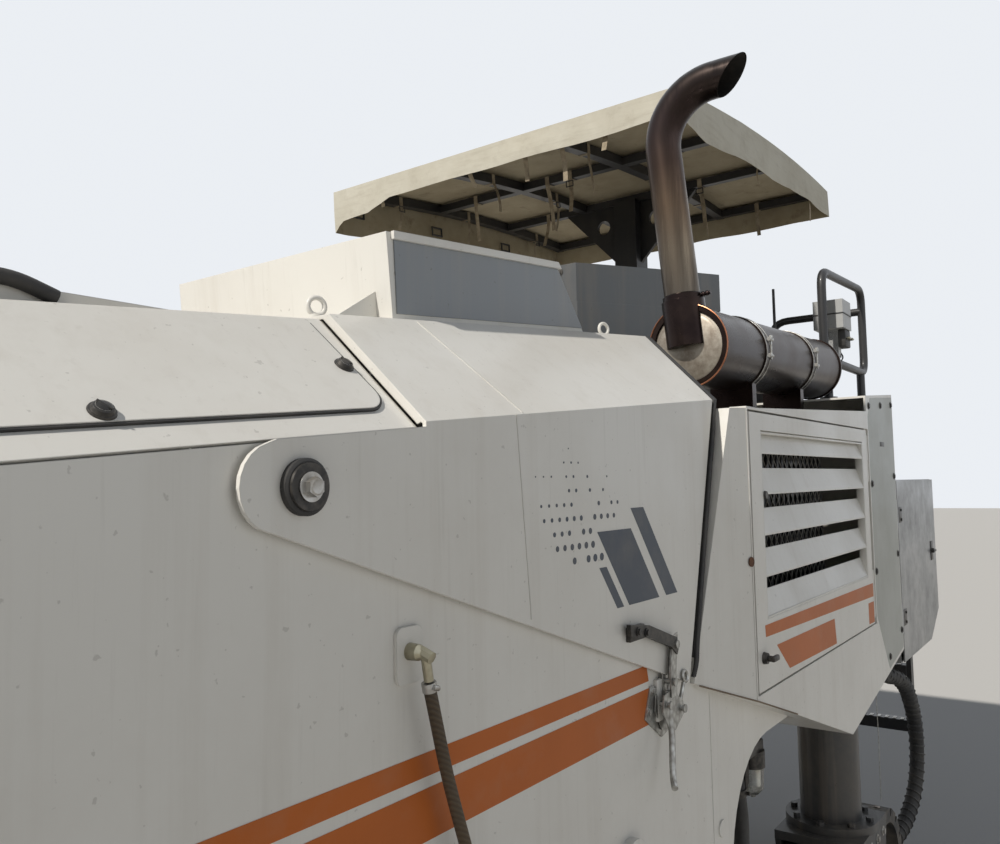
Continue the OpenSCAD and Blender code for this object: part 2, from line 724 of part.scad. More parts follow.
/* Control console: a folded cowl with a sloping desk, open towards the operator */
console_t = 14;
desk_z = 2930;
desk_low_z = 2770;
console_floor = deck_z + body_gap;
console_x = deck_front_x - 1 - body_gap;
module console_plan(in)
    polygon([[console_x - in, -780 + in], [console_x - in, 370 - in / 2],
        [-1600, 570 - 1.3 * in], [-1880, 740 - in], [-2020, 740 - in], [-2020, -780 + in]]);
module console() color(grey) placed() {
    difference() {
        intersection() {
            linear_extrude(3000) console_plan(0);
            side_slab(-800, 800)
                polygon([[-1200, console_floor], [-2030, console_floor], [-2030, 2560],
                    [-1960, 2700], [-1700, desk_low_z], [-1200, desk_low_z]]);
        }
        translate([0, 0, console_floor - 1]) linear_extrude(desk_low_z - console_floor - 40)
            intersection() {
                console_plan(console_t);
                translate([-2100, -2000]) square([700, 4000]);
            }
        translate([0, 0, console_floor - 1]) linear_extrude(900) intersection() {
            console_plan(console_t);
            translate([-2100, -2000]) square([2000, 4000]);
        }
        box([-2040, -780 + console_t, console_floor - 1], [-1960, 600, 2600]);
    }
    // raised instrument panel along the front edge
    difference() {
        side_slab(-700, 300)
            polygon([[console_x, desk_low_z - 1], [console_x, desk_z],
                [console_x - 60, desk_z + 10], [console_x - 210, desk_low_z - 1]]);
    }
    translate([0, 0, desk_low_z - 1]) linear_extrude(desk_z - desk_low_z)
        polygon([[console_x, 290], [console_x, 368], [-1600, 568], [-1880, 738],
            [-1900, 720], [-1610, 540], [console_x - 60, 330], [console_x - 60, 290]]);
}

module seats() color(dark) placed()
    for (y = [-560, 350]) {
        box([-3000, y - 220, 2080], [-2560, y + 220, 2180]);
        box([-3060, y - 220, 2120], [-2990, y + 220, 2620]);
        translate([-2780, y, deck_z + body_gap]) cylinder(h = 2081 - deck_z, d = 90);
        translate([-2780, y, deck_z + body_gap]) cylinder(h = 16, d = 260);
    }

/* Handrails: a closed loop on the left and a rail across the rear */
rail_d = 42;
loop_y = 980;
loop_x = [-2560, -3340];
loop_z = [2615, 3040, 3080];
module handrails() color(dark) placed() {
    tube_run([[loop_x[0], loop_y, loop_z[0]], [loop_x[0], loop_y, loop_z[1] - 40],
        [loop_x[0] - 40, loop_y, loop_z[1]], [loop_x[1] + 50, loop_y, loop_z[2]],
        [loop_x[1], loop_y, loop_z[2] - 50], [loop_x[1], loop_y, loop_z[0]]], rail_d);
    tube_run([[loop_x[0] + 20, loop_y, loop_z[0]], [loop_x[1] - 20, loop_y, loop_z[0]]], rail_d);
    tube_run([[loop_x[0] - 40, loop_y, loop_z[0]], [loop_x[0] - 40, loop_y, 2425]], rail_d);
    tube_run([[loop_x[1] + 90, loop_y, loop_z[0]], [loop_x[1] + 90, loop_y, 2031]], rail_d);
    tube_run([[loop_x[1], loop_y, 2960], [loop_x[1], 560, 2960], [loop_x[1], 480, 2900],
        [loop_x[1], 480, deck_z + 1]], rail_d);
    // rail on the right
    for (x = [-2700, -2300])
        translate([x, -1000, tank_top(x) + body_gap]) cylinder(h = 6, d = 80);
    tube_run([[-2700, -1000, tank_top(-2700) + 5], [-2700, -1000, 2760], [-2660, -1000, 2800],
        [-2340, -1000, 2800], [-2300, -1000, 2760], [-2300, -1000, tank_top(-2300) + 5]], rail_d);
}

/* Rear ladder */
ladder_y = [450, 1060];
module ladder() color(grey) placed() {
    for (y = ladder_y)
        box([rear_x, y, 610], [rear_x + 60, y + 25, 1800]);
    for (z = [640, 940, 1240])
        box([rear_x + 2, ladder_y[0] + 24, z], [rear_x + 78, ladder_y[1] + 1, z + 60]);
    box([rear_x + 58, ladder_y[0] - 20, 1550], [deck_rear_x - body_gap, ladder_y[0] + 60, 1600]);
    box([rear_x + 58, ladder_y[1] - 20, 1700],
        [tool_rear_x - body_gap, ladder_y[1] + 40, 1760]);
}

/* Canopy on a lifting post */
post_x = -2850;
post_y = -170;
post_w = 180;
mast_w = 140;
post_top = 2800;
mast_low = 2150;
module canopy_post() color(dark) placed()
    difference() {
        union() {
            translate([post_x - post_w / 2, post_y - post_w / 2, deck_z + body_gap])
                cube([post_w, post_w, post_top - deck_z]);
            translate([post_x - 160, post_y - 160, deck_z + body_gap]) cube([320, 320, 16]);
        }
        translate([post_x - mast_w / 2 - body_gap, post_y - mast_w / 2 - body_gap, deck_z + 20])
            cube([mast_w + 2 * body_gap, mast_w + 2 * body_gap, 1600]);
    }
canopy_mid_x = -2465;
canopy_up = 87;
bar_w = 50;
module on_canopy() translate([canopy_mid_x, post_y, canopy_z + canopy_up])
    rotate([0, canopy_deg, 0]) children();
crown = 55;
tarp_t = 10;
arch_n = 8;
function arch_at(t) = crown * (1 - pow(2 * t - 1, 2));
function tarp_at(x) = 24 + arch_at((x + canopy_l / 2 - tarp_t) / (canopy_l - 2 * tarp_t));
// The mast ends under the cross bar that it carries
bar_low = tarp_at(post_x - canopy_mid_x) - 44;
mast_top = canopy_z + canopy_up + bar_low * cos(canopy_deg)
    - (post_x - canopy_mid_x) * sin(canopy_deg) + 2;
module long_bar()
    intersection() {
        polygon(concat(
            [for (i = [0 : arch_n]) let (t = i / arch_n)
                [-canopy_l / 2 + tarp_t + t * (canopy_l - 2 * tarp_t), 26 - body_gap + arch_at(t)]],
            [for (i = [arch_n : -1 : 0]) let (t = i / arch_n)
                [-canopy_l / 2 + tarp_t + t * (canopy_l - 2 * tarp_t), arch_at(t) - 20]]));
        square([canopy_l - 70, 400], center = true);
    }
module canopy_frame() color(dark) placed() {
    translate([post_x - mast_w / 2, post_y - mast_w / 2, mast_low])
        cube([mast_w, mast_w, mast_top - mast_low]);
    // triangular bracket from the mast to the cross bars
    translate([post_x, 0, 0]) front_slab(-12, 12)
        difference() {
            polygon([[post_y - 60, 3310], [post_y + 60, 3310], [post_y + 420, mast_top - 5],
                [post_y + 420, mast_top + 4], [post_y - 420, mast_top + 4],
                [post_y - 420, mast_top - 5]]);
            for (side = [-1, 1]) translate([post_y + side * 170, 3570]) circle(r = 42);
        }
    on_canopy() {
        for (y = [-canopy_w / 2 + 60, -300, 300, canopy_w / 2 - 60])
            side_slab(y - bar_w / 2, y + bar_w / 2) long_bar();
        for (x = [-canopy_l / 2 + 60, post_x - canopy_mid_x, 300, canopy_l / 2 - 60])
            translate([x - bar_w / 2, -canopy_w / 2 + 40, tarp_at(x) - 44])
                cube([bar_w, canopy_w - 80, 40]);
    }
}

// Arched tarpaulin with a hanging skirt, open below
module canopy_side(in)
    polygon(concat([[-canopy_l / 2 + in, 26 - skirt_h - (in > 0 ? 1 : 0)]],
        [for (i = [0 : arch_n]) let (t = i / arch_n)
            [-canopy_l / 2 + in + t * (canopy_l - 2 * in), 26 + tarp_t + arch_at(t) - in]],
        [[canopy_l / 2 - in, 26 - skirt_h - (in > 0 ? 1 : 0)]]));
module canopy_cover() color(white) placed()
    on_canopy() difference() {
        side_slab(-canopy_w / 2, canopy_w / 2) canopy_side(0);
        side_slab(-canopy_w / 2 + tarp_t, canopy_w / 2 - tarp_t) canopy_side(tarp_t);
    }

/* Milling drum, its housing, side plates and scraper */
drum_y = -side_y + 20 + drum_w / 2;
drum_in_y = drum_y + drum_w / 2 + 30;
house_x = 600;
house_low = 300;
journal_d = 160;
rod_x = -house_x - 70;
rod_y = [-950, -60];
module drum_housing() color(white) placed() {
    difference() {
        union() {
            box([-house_x, -side_y, house_low],
                [house_x, drum_in_y + housing_wall, floor_z - body_gap]);
            // bearing of the drum drive
            cross_bar(0, drum_in_y + housing_wall, drum_z, 320, 60);
        }
        box([-house_x + housing_wall, -side_y + housing_wall, house_low - 10],
            [house_x - housing_wall, drum_in_y, floor_z - housing_wall]);
        // mouth to the primary conveyor
        box([house_x - 50, conveyor_y - 330, 400], [house_x + 50, conveyor_y + 330, 900]);
        cross_bar(0, drum_in_y, drum_z, journal_d + 0.6, 200);
        cross_bar(0, -side_y, drum_z, journal_d + 0.6, 100);
    }
    // rods that guide the scraper
    for (y = rod_y) {
        translate([rod_x, y, 420]) cylinder(h = 700, d = 40);
        box([rod_x - 30, y - 30, 1086], [-house_x + 1, y + 30, 1126]);
    }
}

module side_plates() color(orange) placed() {
    side_slab(-side_y - 24, -side_y - 6)
        polygon([[-620, 180], [-560, 90], [560, 90], [620, 180], [620, 760], [-620, 760]]);
    for (x = [-450, 420])
        box([x, -side_y - 7, 700], [x + 30, -side_y - body_gap, 760]);
}

scraper_t = 20;
scraper_gap = 6;
module scraper() color(grey) placed() {
    box([-house_x - scraper_gap - scraper_t, -side_y + 5, 130],
        [-house_x - scraper_gap, drum_in_y, 800]);
    for (y = [-1080, -500, 80])
        box([-house_x - scraper_gap - scraper_t - 40, y, 160],
            [-house_x - scraper_gap - scraper_t + 1, y + 20, 780]);
    // sliding shoes on the guide rods
    for (y = rod_y, z = [450, 700]) difference() {
        box([rod_x - 34, y - 34, z], [-house_x - scraper_gap - 1, y + 34, z + 70]);
        translate([rod_x, y, z - 1]) cylinder(h = 72, d = 40.6);
    }
}

// Tool ring: holder and conical pick along two opposed helices
tool_reach = (drum_d - drum_tube_d) / 2;
holder_h = tool_reach - 45;
lead = 260;
module tool() {
    translate([drum_tube_d / 2 - 6, -24, -34]) cube([holder_h, 48, 68]);
    translate([drum_tube_d / 2 + holder_h - 30, 0, 0]) rotate([0, 90, 0]) rotate([-35, 0, 0])
        cylinder(h = 75, d1 = 40, d2 = 14, $fn = 16);
}
module milling_drum() color(steel) placed() {
    difference() {
        union() {
            cross_bar(0, drum_y, drum_z, drum_tube_d, drum_w);
            translate([0, drum_y, drum_z]) rotate([90, 0, 0])
                for (side = [-1, 1], i = [0 : tools_per_helix - 1])
                    rotate([0, 0, side * i * 37 + (side > 0 ? 0 : 180)])
                        translate([0, 0, side * (20 + i * (drum_w / 2 - 50) / (tools_per_helix - 1))])
                            tool();
        }
        translate([0, -side_y, drum_z]) rotate([90, 0, 0])
            cylinder(h = 160, d = drum_tube_d - 60, center = true);
    }
    cross_bar(0, drum_y + drum_w / 2 + 30, drum_z, journal_d, 100);
    translate([0, -side_y + 3, drum_z]) rotate([-90, 0, 0]) cylinder(h = 120, d = journal_d);
}

/* Legs: column, flange, yoke and the wheels that carry the track */
wheel_r = track_h / 2 - track_belt - shoe_h;
wheel_span = track_l - track_h;
yoke_t = 24;
yoke_y = track_w / 2 + 12;
module leg(top) {
    translate([0, 0, 640]) cylinder(h = top - 30 - 640, d = column_d);
    translate([0, 0, 620]) cylinder(h = 35, d = 360);
    for (a = [0 : 45 : 315]) rotate([0, 0, a]) translate([152, 0, 640])
        cylinder(h = 30, d = 30, $fn = 6);
    box([-220, -yoke_y - yoke_t, 590], [220, yoke_y + yoke_t, 625]);
    both_sides() side_slab(yoke_y, yoke_y + yoke_t)
        polygon([[-220, 600], [220, 600], [110, 190], [-110, 190]]);
    cross_bar(0, 0, track_h / 2, 90, 2 * (yoke_y + yoke_t) + 16);
    // track frame, wheels and rollers
    difference() {
        box([-wheel_span / 2 - 40, -70, track_h / 2 - 110],
            [wheel_span / 2 + 40, 70, track_h / 2 + 110]);
        both_sides() box([-wheel_span / 2 + 60, 50, track_h / 2 - 70],
            [-90, 90, track_h / 2 + 70]);
        both_sides() box([90, 50, track_h / 2 - 70],
            [wheel_span / 2 - 60, 90, track_h / 2 + 70]);
    }
    for (x = [-wheel_span / 2, wheel_span / 2]) {
        cross_bar(x, 0, track_h / 2, 2 * wheel_r - 2 * body_gap, track_w * 0.62);
        cross_bar(x, 0, track_h / 2, 170, track_w * 0.62 + 40);
    }
    for (x = [-230, 0, 230])
        cross_bar(x, 0, track_h / 2 - wheel_r + 60, 120 - 2 * body_gap, track_w * 0.62);
}

// Track: a belt and its shoes in one closed outline
function loop_len(r) = 2 * wheel_span + 2 * PI * r;
function loop_point(s, r) =
    let (half = PI * r, t = s % loop_len(r))
    t < wheel_span ? [-wheel_span / 2 + t, r]
    : t < wheel_span + half
        ? let (a = 90 - (t - wheel_span) / r * 180 / PI)
            [wheel_span / 2 + r * cos(a), r * sin(a)]
    : t < 2 * wheel_span + half ? [wheel_span / 2 - (t - wheel_span - half), -r]
    : let (a = -90 - (t - 2 * wheel_span - half) / r * 180 / PI)
        [-wheel_span / 2 + r * cos(a), r * sin(a)];
// One shoe as shares of the pitch along and of the shoe's height out
shoe_form = [[0.06, 0], [0.12, 1], [0.86, 1], [0.92, 0]];
module loop_outline(r)
    union() {
        for (x = [-wheel_span / 2, wheel_span / 2]) translate([x, 0]) circle(r = r);
        square([wheel_span, 2 * r], center = true);
    }
module track() {
    belt_r = wheel_r + track_belt;
    mid_r = belt_r;
    pitch = loop_len(mid_r) / shoes;
    points = [for (i = [0 : shoes - 1], f = shoe_form)
        let (p = loop_point((i + f[0]) * pitch + wheel_span / 2 - pitch / 2, mid_r),
            c = [max(-wheel_span / 2, min(wheel_span / 2, p[0])), 0],
            out = (p - c) / norm(p - c))
        p + out * shoe_h * f[1]];
    translate([0, 0, track_h / 2]) side_slab(-track_w / 2, track_w / 2)
        difference() {
            polygon(points);
            loop_outline(wheel_r);
        }
}
module leg_front_left() color(grey) placed()
    translate([front_axle_x, column_y, 0]) leg(column_top);
module leg_front_right() color(grey) placed()
    translate([front_axle_x, -column_y, 0]) leg(column_top);
module leg_rear_left() color(grey) placed()
    translate([-rear_axle_x, column_y, 0]) leg(rear_column_top);
module leg_rear_right() color(grey) placed()
    translate([-rear_axle_x, -column_y, 0]) leg(rear_column_top);
module track_front_left() color(dark) placed()
    translate([front_axle_x, column_y, 0]) track();
module track_front_right() color(dark) placed()
    translate([front_axle_x, -column_y, 0]) track();
module track_rear_left() color(dark) placed()
    translate([-rear_axle_x, column_y, 0]) track();
module track_rear_right() color(dark) placed()
    translate([-rear_axle_x, -column_y, 0]) track();

/* Primary conveyor: trough from the drum housing out through the front plate */
primary_start = [house_x + 12, 470];
primary_end = [2480, 1600];
primary_run = primary_end - primary_start;
primary_l = norm(primary_run);
primary_deg = atan2(primary_run[1], primary_run[0]);
trough_w = belt_w + 60;
trough_h = 250;
trough_t = 8;
module along_primary()
    translate([primary_start[0], conveyor_y, primary_start[1]])
        rotate([0, -primary_deg, 0]) children();
module primary_conveyor() color(grey) placed()
    intersection() {
        along_primary() {
            // side walls, with the floor and lid let in between them
            for (y = [-trough_w / 2, trough_w / 2 - trough_t])
                box([-300, y, -80], [primary_l, y + trough_t, trough_h - 80]);
            for (z = [-80, trough_h - 80 - trough_t])
                box([-300, body_gap + trough_t - trough_w / 2, z],
                    [primary_l, trough_w / 2 - trough_t - body_gap, z + trough_t]);
            // belt over its drums, whose shafts end at the walls
            box([60, -belt_w / 2, -50], [primary_l - 60, belt_w / 2, 50]);
            for (x = [60, primary_l - 60]) {
                cross_bar(x, 0, 0, 100, belt_w);
                cross_bar(x, 0, 0, 60, trough_w - 2 * (trough_t + body_gap));
            }
        }
        box([house_x + body_gap, -1000, 200], [3000, 1000, 2400]);
    }

/* Slewing bracket, boom with its belt, and the luffing cylinder */
ring_z = 750;
beam_t = 14;
beam_y = belt_w / 2 + 45;
cheek_y = beam_y + 27;
cheek_t = 20;
ear_in = 34;
base_pin = [300, 730 - luff_z];
trunnion_d = 70;
module slew_bracket() color(grey) placed() translate([slew_x, conveyor_y, 0]) {
    translate([0, 0, ring_z + body_gap]) cylinder(h = 50, r = 230);
    translate([0, 0, 700]) cylinder(h = 60, d = 88);
    difference() {
        union() {
            box([-110, -cheek_y - cheek_t, ring_z + 30],
                [200, cheek_y + cheek_t, ring_z + 52]);
            both_sides() side_slab(cheek_y, cheek_y + cheek_t)
                polygon([[-110, ring_z + 30], [200, ring_z + 30], [90, luff_z + 70],
                    [60, luff_z + 90], [-60, luff_z + 90], [-90, luff_z + 70]]);
            both_sides() side_slab(ear_in, ear_in + 16)
                polygon([[150, ring_z + 30], [215, ring_z + 30], [232, 700],
                    [base_pin[0] - 10, 685], [base_pin[0] + 45, 700],
                    [base_pin[0] + 45, 765], [200, 860], [150, 860]]);
        }
        both_sides() cross_bar(0, cheek_y + cheek_t / 2, luff_z, trunnion_d + 0.6, 60);
    }
    cross_bar(base_pin[0], 0, luff_z + base_pin[1], 36, 2 * ear_in + 32 + 20);
}
module on_boom() translate([slew_x, conveyor_y, luff_z]) rotate([0, -boom_deg, 0]) children();
tail = 230;
beam_low = -beam_h / 3;
beam_high = beam_low + beam_h;
belt_z = pulley_d / 2 - 20;
lug_at = [1150, -150];
module beam_side()
    polygon([[-tail + 40, beam_low], [-tail, beam_low + 50], [-tail, beam_high - 20],
        [-tail + 20, beam_high], [boom_l - 20, beam_high],
        [boom_l + boom_nose, beam_high - 40], [boom_l + boom_nose, beam_low + 40],
        [boom_l - 20, beam_low]]);
slots = 11;
slot_pitch = (boom_l - 900) / slots;
module boom() color(white) placed() on_boom() {
    difference() {
        union() {
            // folded side beams with flanges
            both_sides() {
                side_slab(beam_y - beam_t, beam_y) beam_side();
                for (z = [beam_low, beam_high - 12])
                    box([-tail + 45, beam_y - 40, z], [boom_l - 25, beam_y, z + 12]);
            }
            // trunnions in the slewing bracket
            both_sides() cross_bar(0, beam_y + 22, 0, trunnion_d, 60);
            // cross members
            for (i = [0 : 6]) translate([240 + i * (boom_l - 500) / 6, 0, beam_low + 6])
                cube([60, 2 * beam_y - 20, 12], center = true);
        }
        for (i = [0 : slots - 1]) translate([620 + i * slot_pitch, 0, beam_low + beam_h / 2])
            cube([slot_pitch - 120, 4 * beam_y, beam_h - 90], center = true);
    }
    // lug of the luffing cylinder
    both_sides() side_slab(ear_in, ear_in + 16)
        polygon([[lug_at[0] - 120, beam_low + 8], [lug_at[0] + 120, beam_low + 8],
            [lug_at[0] + 32, lug_at[1] - 30], [lug_at[0] - 32, lug_at[1] - 30]]);
    box([lug_at[0] - 130, -beam_y + 10, beam_low], [lug_at[0] + 130, beam_y - 10, beam_low + 12]);
    cross_bar(lug_at[0], 0, lug_at[1], 30, 2 * ear_in + 32 + 16);
    // shafts of the belt drums
    for (x = [-tail + 110, boom_l - 80]) {
        cross_bar(x, 0, belt_z, 50, 2 * beam_y + 30);
        cross_bar(x, 0, belt_z, pulley_d, belt_w + 10);
    }
}
belt_t = 12;
cleats = 26;
module boom_belt() color(dark) placed() on_boom() {
    x0 = -tail + 110;
    x1 = boom_l - 80;
    r = pulley_d / 2 + body_gap;
    translate([0, 0, belt_z]) side_slab(-belt_w / 2, belt_w / 2) difference() {
        union() {
            for (x = [x0, x1]) translate([x, 0]) circle(r = r + belt_t);
            translate([x0, -r - belt_t]) square([x1 - x0, 2 * (r + belt_t)]);
            for (i = [0 : cleats - 1])
                translate([x0 + 120 + i * (x1 - x0 - 240) / (cleats - 1), r + belt_t - 1])
                    square([16, 20]);
        }
        for (x = [x0, x1]) translate([x, 0]) circle(r = r);
        translate([x0, -r]) square([x1 - x0, 2 * r]);
    }
}

// Place of the rod's eye when parked, and the cylinder's run towards it
function on_boom_at(p) = [p[0] * cos(boom_deg) - p[1] * sin(boom_deg),
    p[0] * sin(boom_deg) + p[1] * cos(boom_deg)];
eye = on_boom_at(lug_at);
stroke_run = eye - base_pin;
stroke_l = norm(stroke_run);
stroke_deg = atan2(stroke_run[1], stroke_run[0]);
barrel_l = 700;
barrel_d = 100;
rod_d = 56;
module along_cylinder()
    translate([slew_x + base_pin[0], conveyor_y, luff_z + base_pin[1]])
        rotate([0, 90 - stroke_deg, 0]) children();
module luff_barrel() color(steel) placed() along_cylinder() {
    difference() {
        union() {
            cross_bar(0, 0, 0, 76, 2 * ear_in - 6);
            translate([0, 0, 20]) cylinder(h = 60, d = 60);
            translate([0, 0, 60]) cylinder(h = barrel_l - 60, d = barrel_d);
            translate([0, 0, barrel_l - 40]) cylinder(h = 40, d = barrel_d + 16);
        }
        cross_bar(0, 0, 0, 36.6, 2 * ear_in);
        translate([0, 0, 90]) cylinder(h = barrel_l, d = rod_d + 0.6);
    }
}
eye_hole = 58;
module luff_rod() color(steel) placed() along_cylinder() difference() {
    union() {
        translate([0, 0, 200]) cylinder(h = stroke_l - 200 - 30, d = rod_d);
        translate([0, 0, stroke_l]) cross_bar(0, 0, 0, 96, 2 * ear_in - 8);
    }
    translate([0, 0, stroke_l]) cross_bar(0, 0, 0, eye_hole, 2 * ear_in);
}

/* Hoses that the machine holds from end to end */
module side_hose() color(orange) placed() {
    box([580, side_y + body_gap, 1755], [640, side_y + 8, 1825]);
    translate([610, side_y + 7, 1795]) rotate([-90, 0, 0]) cylinder(h = 30, d = 34);
    tube_run([[610, side_y + 36, 1795], [600, side_y + 38, 1740], [560, side_y + 36, 1600],
        [500, side_y + 34, 1440], [440, side_y + 30, 1280], [400, side_y + 22, 1180]], 26);
    translate([396, side_y + body_gap, 1168]) rotate([-90, 0, 0]) cylinder(h = 30, d = 44);
}
module leg_hose() color(dark) placed()
{
    translate([-rear_axle_x - cross_half - body_gap, 1100, 1185]) rotate([0, -90, 0])
        cylinder(h = 40, d = 50);
    tube_run([[-2385, 1100, 1180], [-2650, 1130, 1140], [-2960, 1165, 1050],
        [-3180, 1165, 870], [-3270, 1160, 660], [-3220, 1150, 470], [-3060, 1130, 350],
        [-2900, 1100, 300]], 80);
}

/* Work lamps: one on the handrail loop, two on the front */
module work_lamps() color(grey) placed() {
    box([loop_x[0] - 240, loop_y - 70, 2770], [loop_x[0] - 90, loop_y + 70, 2910]);
    box([loop_x[0] - 190, loop_y - 30, loop_z[0] + rail_d / 2 + body_gap],
        [loop_x[0] - 140, loop_y + 30, 2771]);
    for (y = [-950, 950])
        translate([nose_x + 60 + body_gap, y, 1735]) rotate([0, 90, 0])
            cylinder(h = 60, d = 140);
}

main_frame();
lashing_lugs();
hood_pivots();
front_cover();
inspection_cover();
engine_block();
hood_shell();
intake_box();
hood_latch();
hood_seal();
radiator_housing();
radiator_core();
radiator_door();
rear_panel();
tool_box();
tool_box_door();
muffler();
exhaust_pipe();
right_tank();
platform();
console();
seats();
handrails();
ladder();
canopy_post();
canopy_frame();
canopy_cover();
drum_housing();
side_plates();
scraper();
milling_drum();
leg_front_left();
leg_front_right();
leg_rear_left();
leg_rear_right();
track_front_left();
track_front_right();
track_rear_left();
track_rear_right();
primary_conveyor();
slew_bracket();
boom();
boom_belt();
luff_barrel();
luff_rod();
side_hose();
leg_hose();
work_lamps();
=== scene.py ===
import json
import math

import bmesh
import bpy
from mathutils import Matrix, Vector, noise


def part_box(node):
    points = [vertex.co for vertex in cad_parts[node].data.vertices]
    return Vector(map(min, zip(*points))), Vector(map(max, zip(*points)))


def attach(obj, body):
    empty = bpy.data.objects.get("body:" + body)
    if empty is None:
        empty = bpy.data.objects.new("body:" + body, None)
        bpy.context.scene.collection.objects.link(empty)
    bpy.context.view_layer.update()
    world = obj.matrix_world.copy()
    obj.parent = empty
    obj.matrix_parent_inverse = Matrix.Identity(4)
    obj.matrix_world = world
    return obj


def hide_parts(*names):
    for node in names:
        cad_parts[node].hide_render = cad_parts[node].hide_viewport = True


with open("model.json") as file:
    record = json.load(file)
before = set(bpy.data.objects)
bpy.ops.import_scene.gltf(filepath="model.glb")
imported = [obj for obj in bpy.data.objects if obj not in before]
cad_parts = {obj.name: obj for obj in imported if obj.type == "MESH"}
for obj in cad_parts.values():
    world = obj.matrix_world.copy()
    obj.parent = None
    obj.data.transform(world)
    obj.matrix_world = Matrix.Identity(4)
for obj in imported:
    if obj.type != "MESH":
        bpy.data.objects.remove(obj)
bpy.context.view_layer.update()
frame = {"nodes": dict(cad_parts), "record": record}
nodes = frame["nodes"]

# Studio: a pale floor under a plain pale sky, with a low sun ahead of the machine and slightly
# to its right, a weak soft lamp on its left, and the camera beside the left-hand front crawler.
joints = frame["record"]["behaviour"]["joints"]
pivots = {joint["name"]: Vector(joint["pos_m"]) for joint in joints if "pos_m" in joint}
drum_x = pivots["drum_spin"].x


def at(x, y, z):
    """A place measured from the drum's axis, moved into the frame."""
    return Vector((x + drum_x, y, z))


forward, left, upward = Vector((1, 0, 0)), Vector((0, 1, 0)), Vector((0, 0, 1))
scene = bpy.context.scene
scene.view_settings.view_transform = "Standard"

world = bpy.data.worlds.new("sky")
scene.world = world
world.use_nodes = True
sky = world.node_tree
sky.nodes.clear()
sky_out = sky.nodes.new("ShaderNodeOutputWorld")
sky_light = sky.nodes.new("ShaderNodeBackground")
sky_light.inputs["Color"].default_value = (0.78, 0.85, 0.96, 1)
sky_light.inputs["Strength"].default_value = 0.20
sky_seen = sky.nodes.new("ShaderNodeBackground")
sky_seen.inputs["Color"].default_value = (0.83, 0.86, 0.90, 1)
sky_seen.inputs["Strength"].default_value = 1.0
sky_path = sky.nodes.new("ShaderNodeLightPath")
sky_ray = sky_path.outputs["Is Camera Ray"]
for other_ray in ("Is Glossy Ray", "Is Transmission Ray"):
    either = sky.nodes.new("ShaderNodeMath")
    either.operation = "MAXIMUM"
    sky.links.new(sky_ray, either.inputs[0])
    sky.links.new(sky_path.outputs[other_ray], either.inputs[1])
    sky_ray = either.outputs[0]
sky_mix = sky.nodes.new("ShaderNodeMixShader")
sky.links.new(sky_ray, sky_mix.inputs[0])
sky.links.new(sky_light.outputs[0], sky_mix.inputs[1])
sky.links.new(sky_seen.outputs[0], sky_mix.inputs[2])
sky.links.new(sky_mix.outputs[0], sky_out.inputs[0])

sun = bpy.data.lights.new("sun", "SUN")
sun.energy, sun.angle, sun.color = 3.6, math.radians(1.2), (1.0, 0.955, 0.885)
sun_ob = bpy.data.objects.new("sun", sun)
sun_ob.rotation_euler = Vector((0.70, -0.13, 0.70)).to_track_quat("Z", "Y").to_euler()
scene.collection.objects.link(sun_ob)
fill = bpy.data.lights.new("fill", "AREA")
fill.energy, fill.size, fill.color = 105, 9, (0.90, 0.95, 1.0)
fill_ob = bpy.data.objects.new("fill", fill)
fill_ob.location = at(-2, 13, 5)
towards_hood = at(-1.0, 0, 1.8) - fill_ob.location
fill_ob.rotation_euler = towards_hood.to_track_quat("-Z", "Y").to_euler()
scene.collection.objects.link(fill_ob)

heading, climb, roll = (math.radians(d) for d in (35.991, 4.132, 1.055))
level = math.cos(climb)
look = Vector((-math.cos(heading) * level, -math.sin(heading) * level, math.sin(climb)))
right = look.cross(upward).normalized()
up = right.cross(look)
leaned = (
    math.cos(roll) * right - math.sin(roll) * up,
    math.sin(roll) * right + math.cos(roll) * up,
    -look,
)
camera = bpy.data.objects.new("camera", bpy.data.cameras.new("camera"))
eye = at(1.6, 2.085, 2.05)
camera.data.sensor_width, camera.data.lens = 36, 30.6
camera.data.clip_start, camera.data.clip_end = 0.05, 200
camera.matrix_world = Matrix.Translation(eye) @ Matrix(leaned).transposed().to_4x4()
scene.collection.objects.link(camera)
scene.camera = camera

floor_shape = bmesh.new()
bmesh.ops.create_grid(floor_shape, x_segments=1, y_segments=1, size=60)
floor_mesh = bpy.data.meshes.new("floor")
floor_shape.to_mesh(floor_mesh)
floor_shape.free()
floor_paint = bpy.data.materials.new("floor")
floor_paint.use_nodes = True
floor_shader = floor_paint.node_tree.nodes["Principled BSDF"]
floor_shader.inputs["Base Color"].default_value = (0.52, 0.51, 0.49, 1)
floor_shader.inputs["Roughness"].default_value = 0.85
floor_mesh.materials.append(floor_paint)
floor = bpy.data.objects.new("floor", floor_mesh)
scene.collection.objects.link(floor)

# Main frame: welded plate under white two-pack paint, dusty, with faint runs of dirt, small
# chips and softly rounded plate edges. Two orange film stripes are stuck along each side plate,
# with a small folded edge behind them and the welds of the floor plate and arches.
side_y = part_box("front_cover")[1].y
door_y = 1.250
hood_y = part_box("hood_shell")[1].y


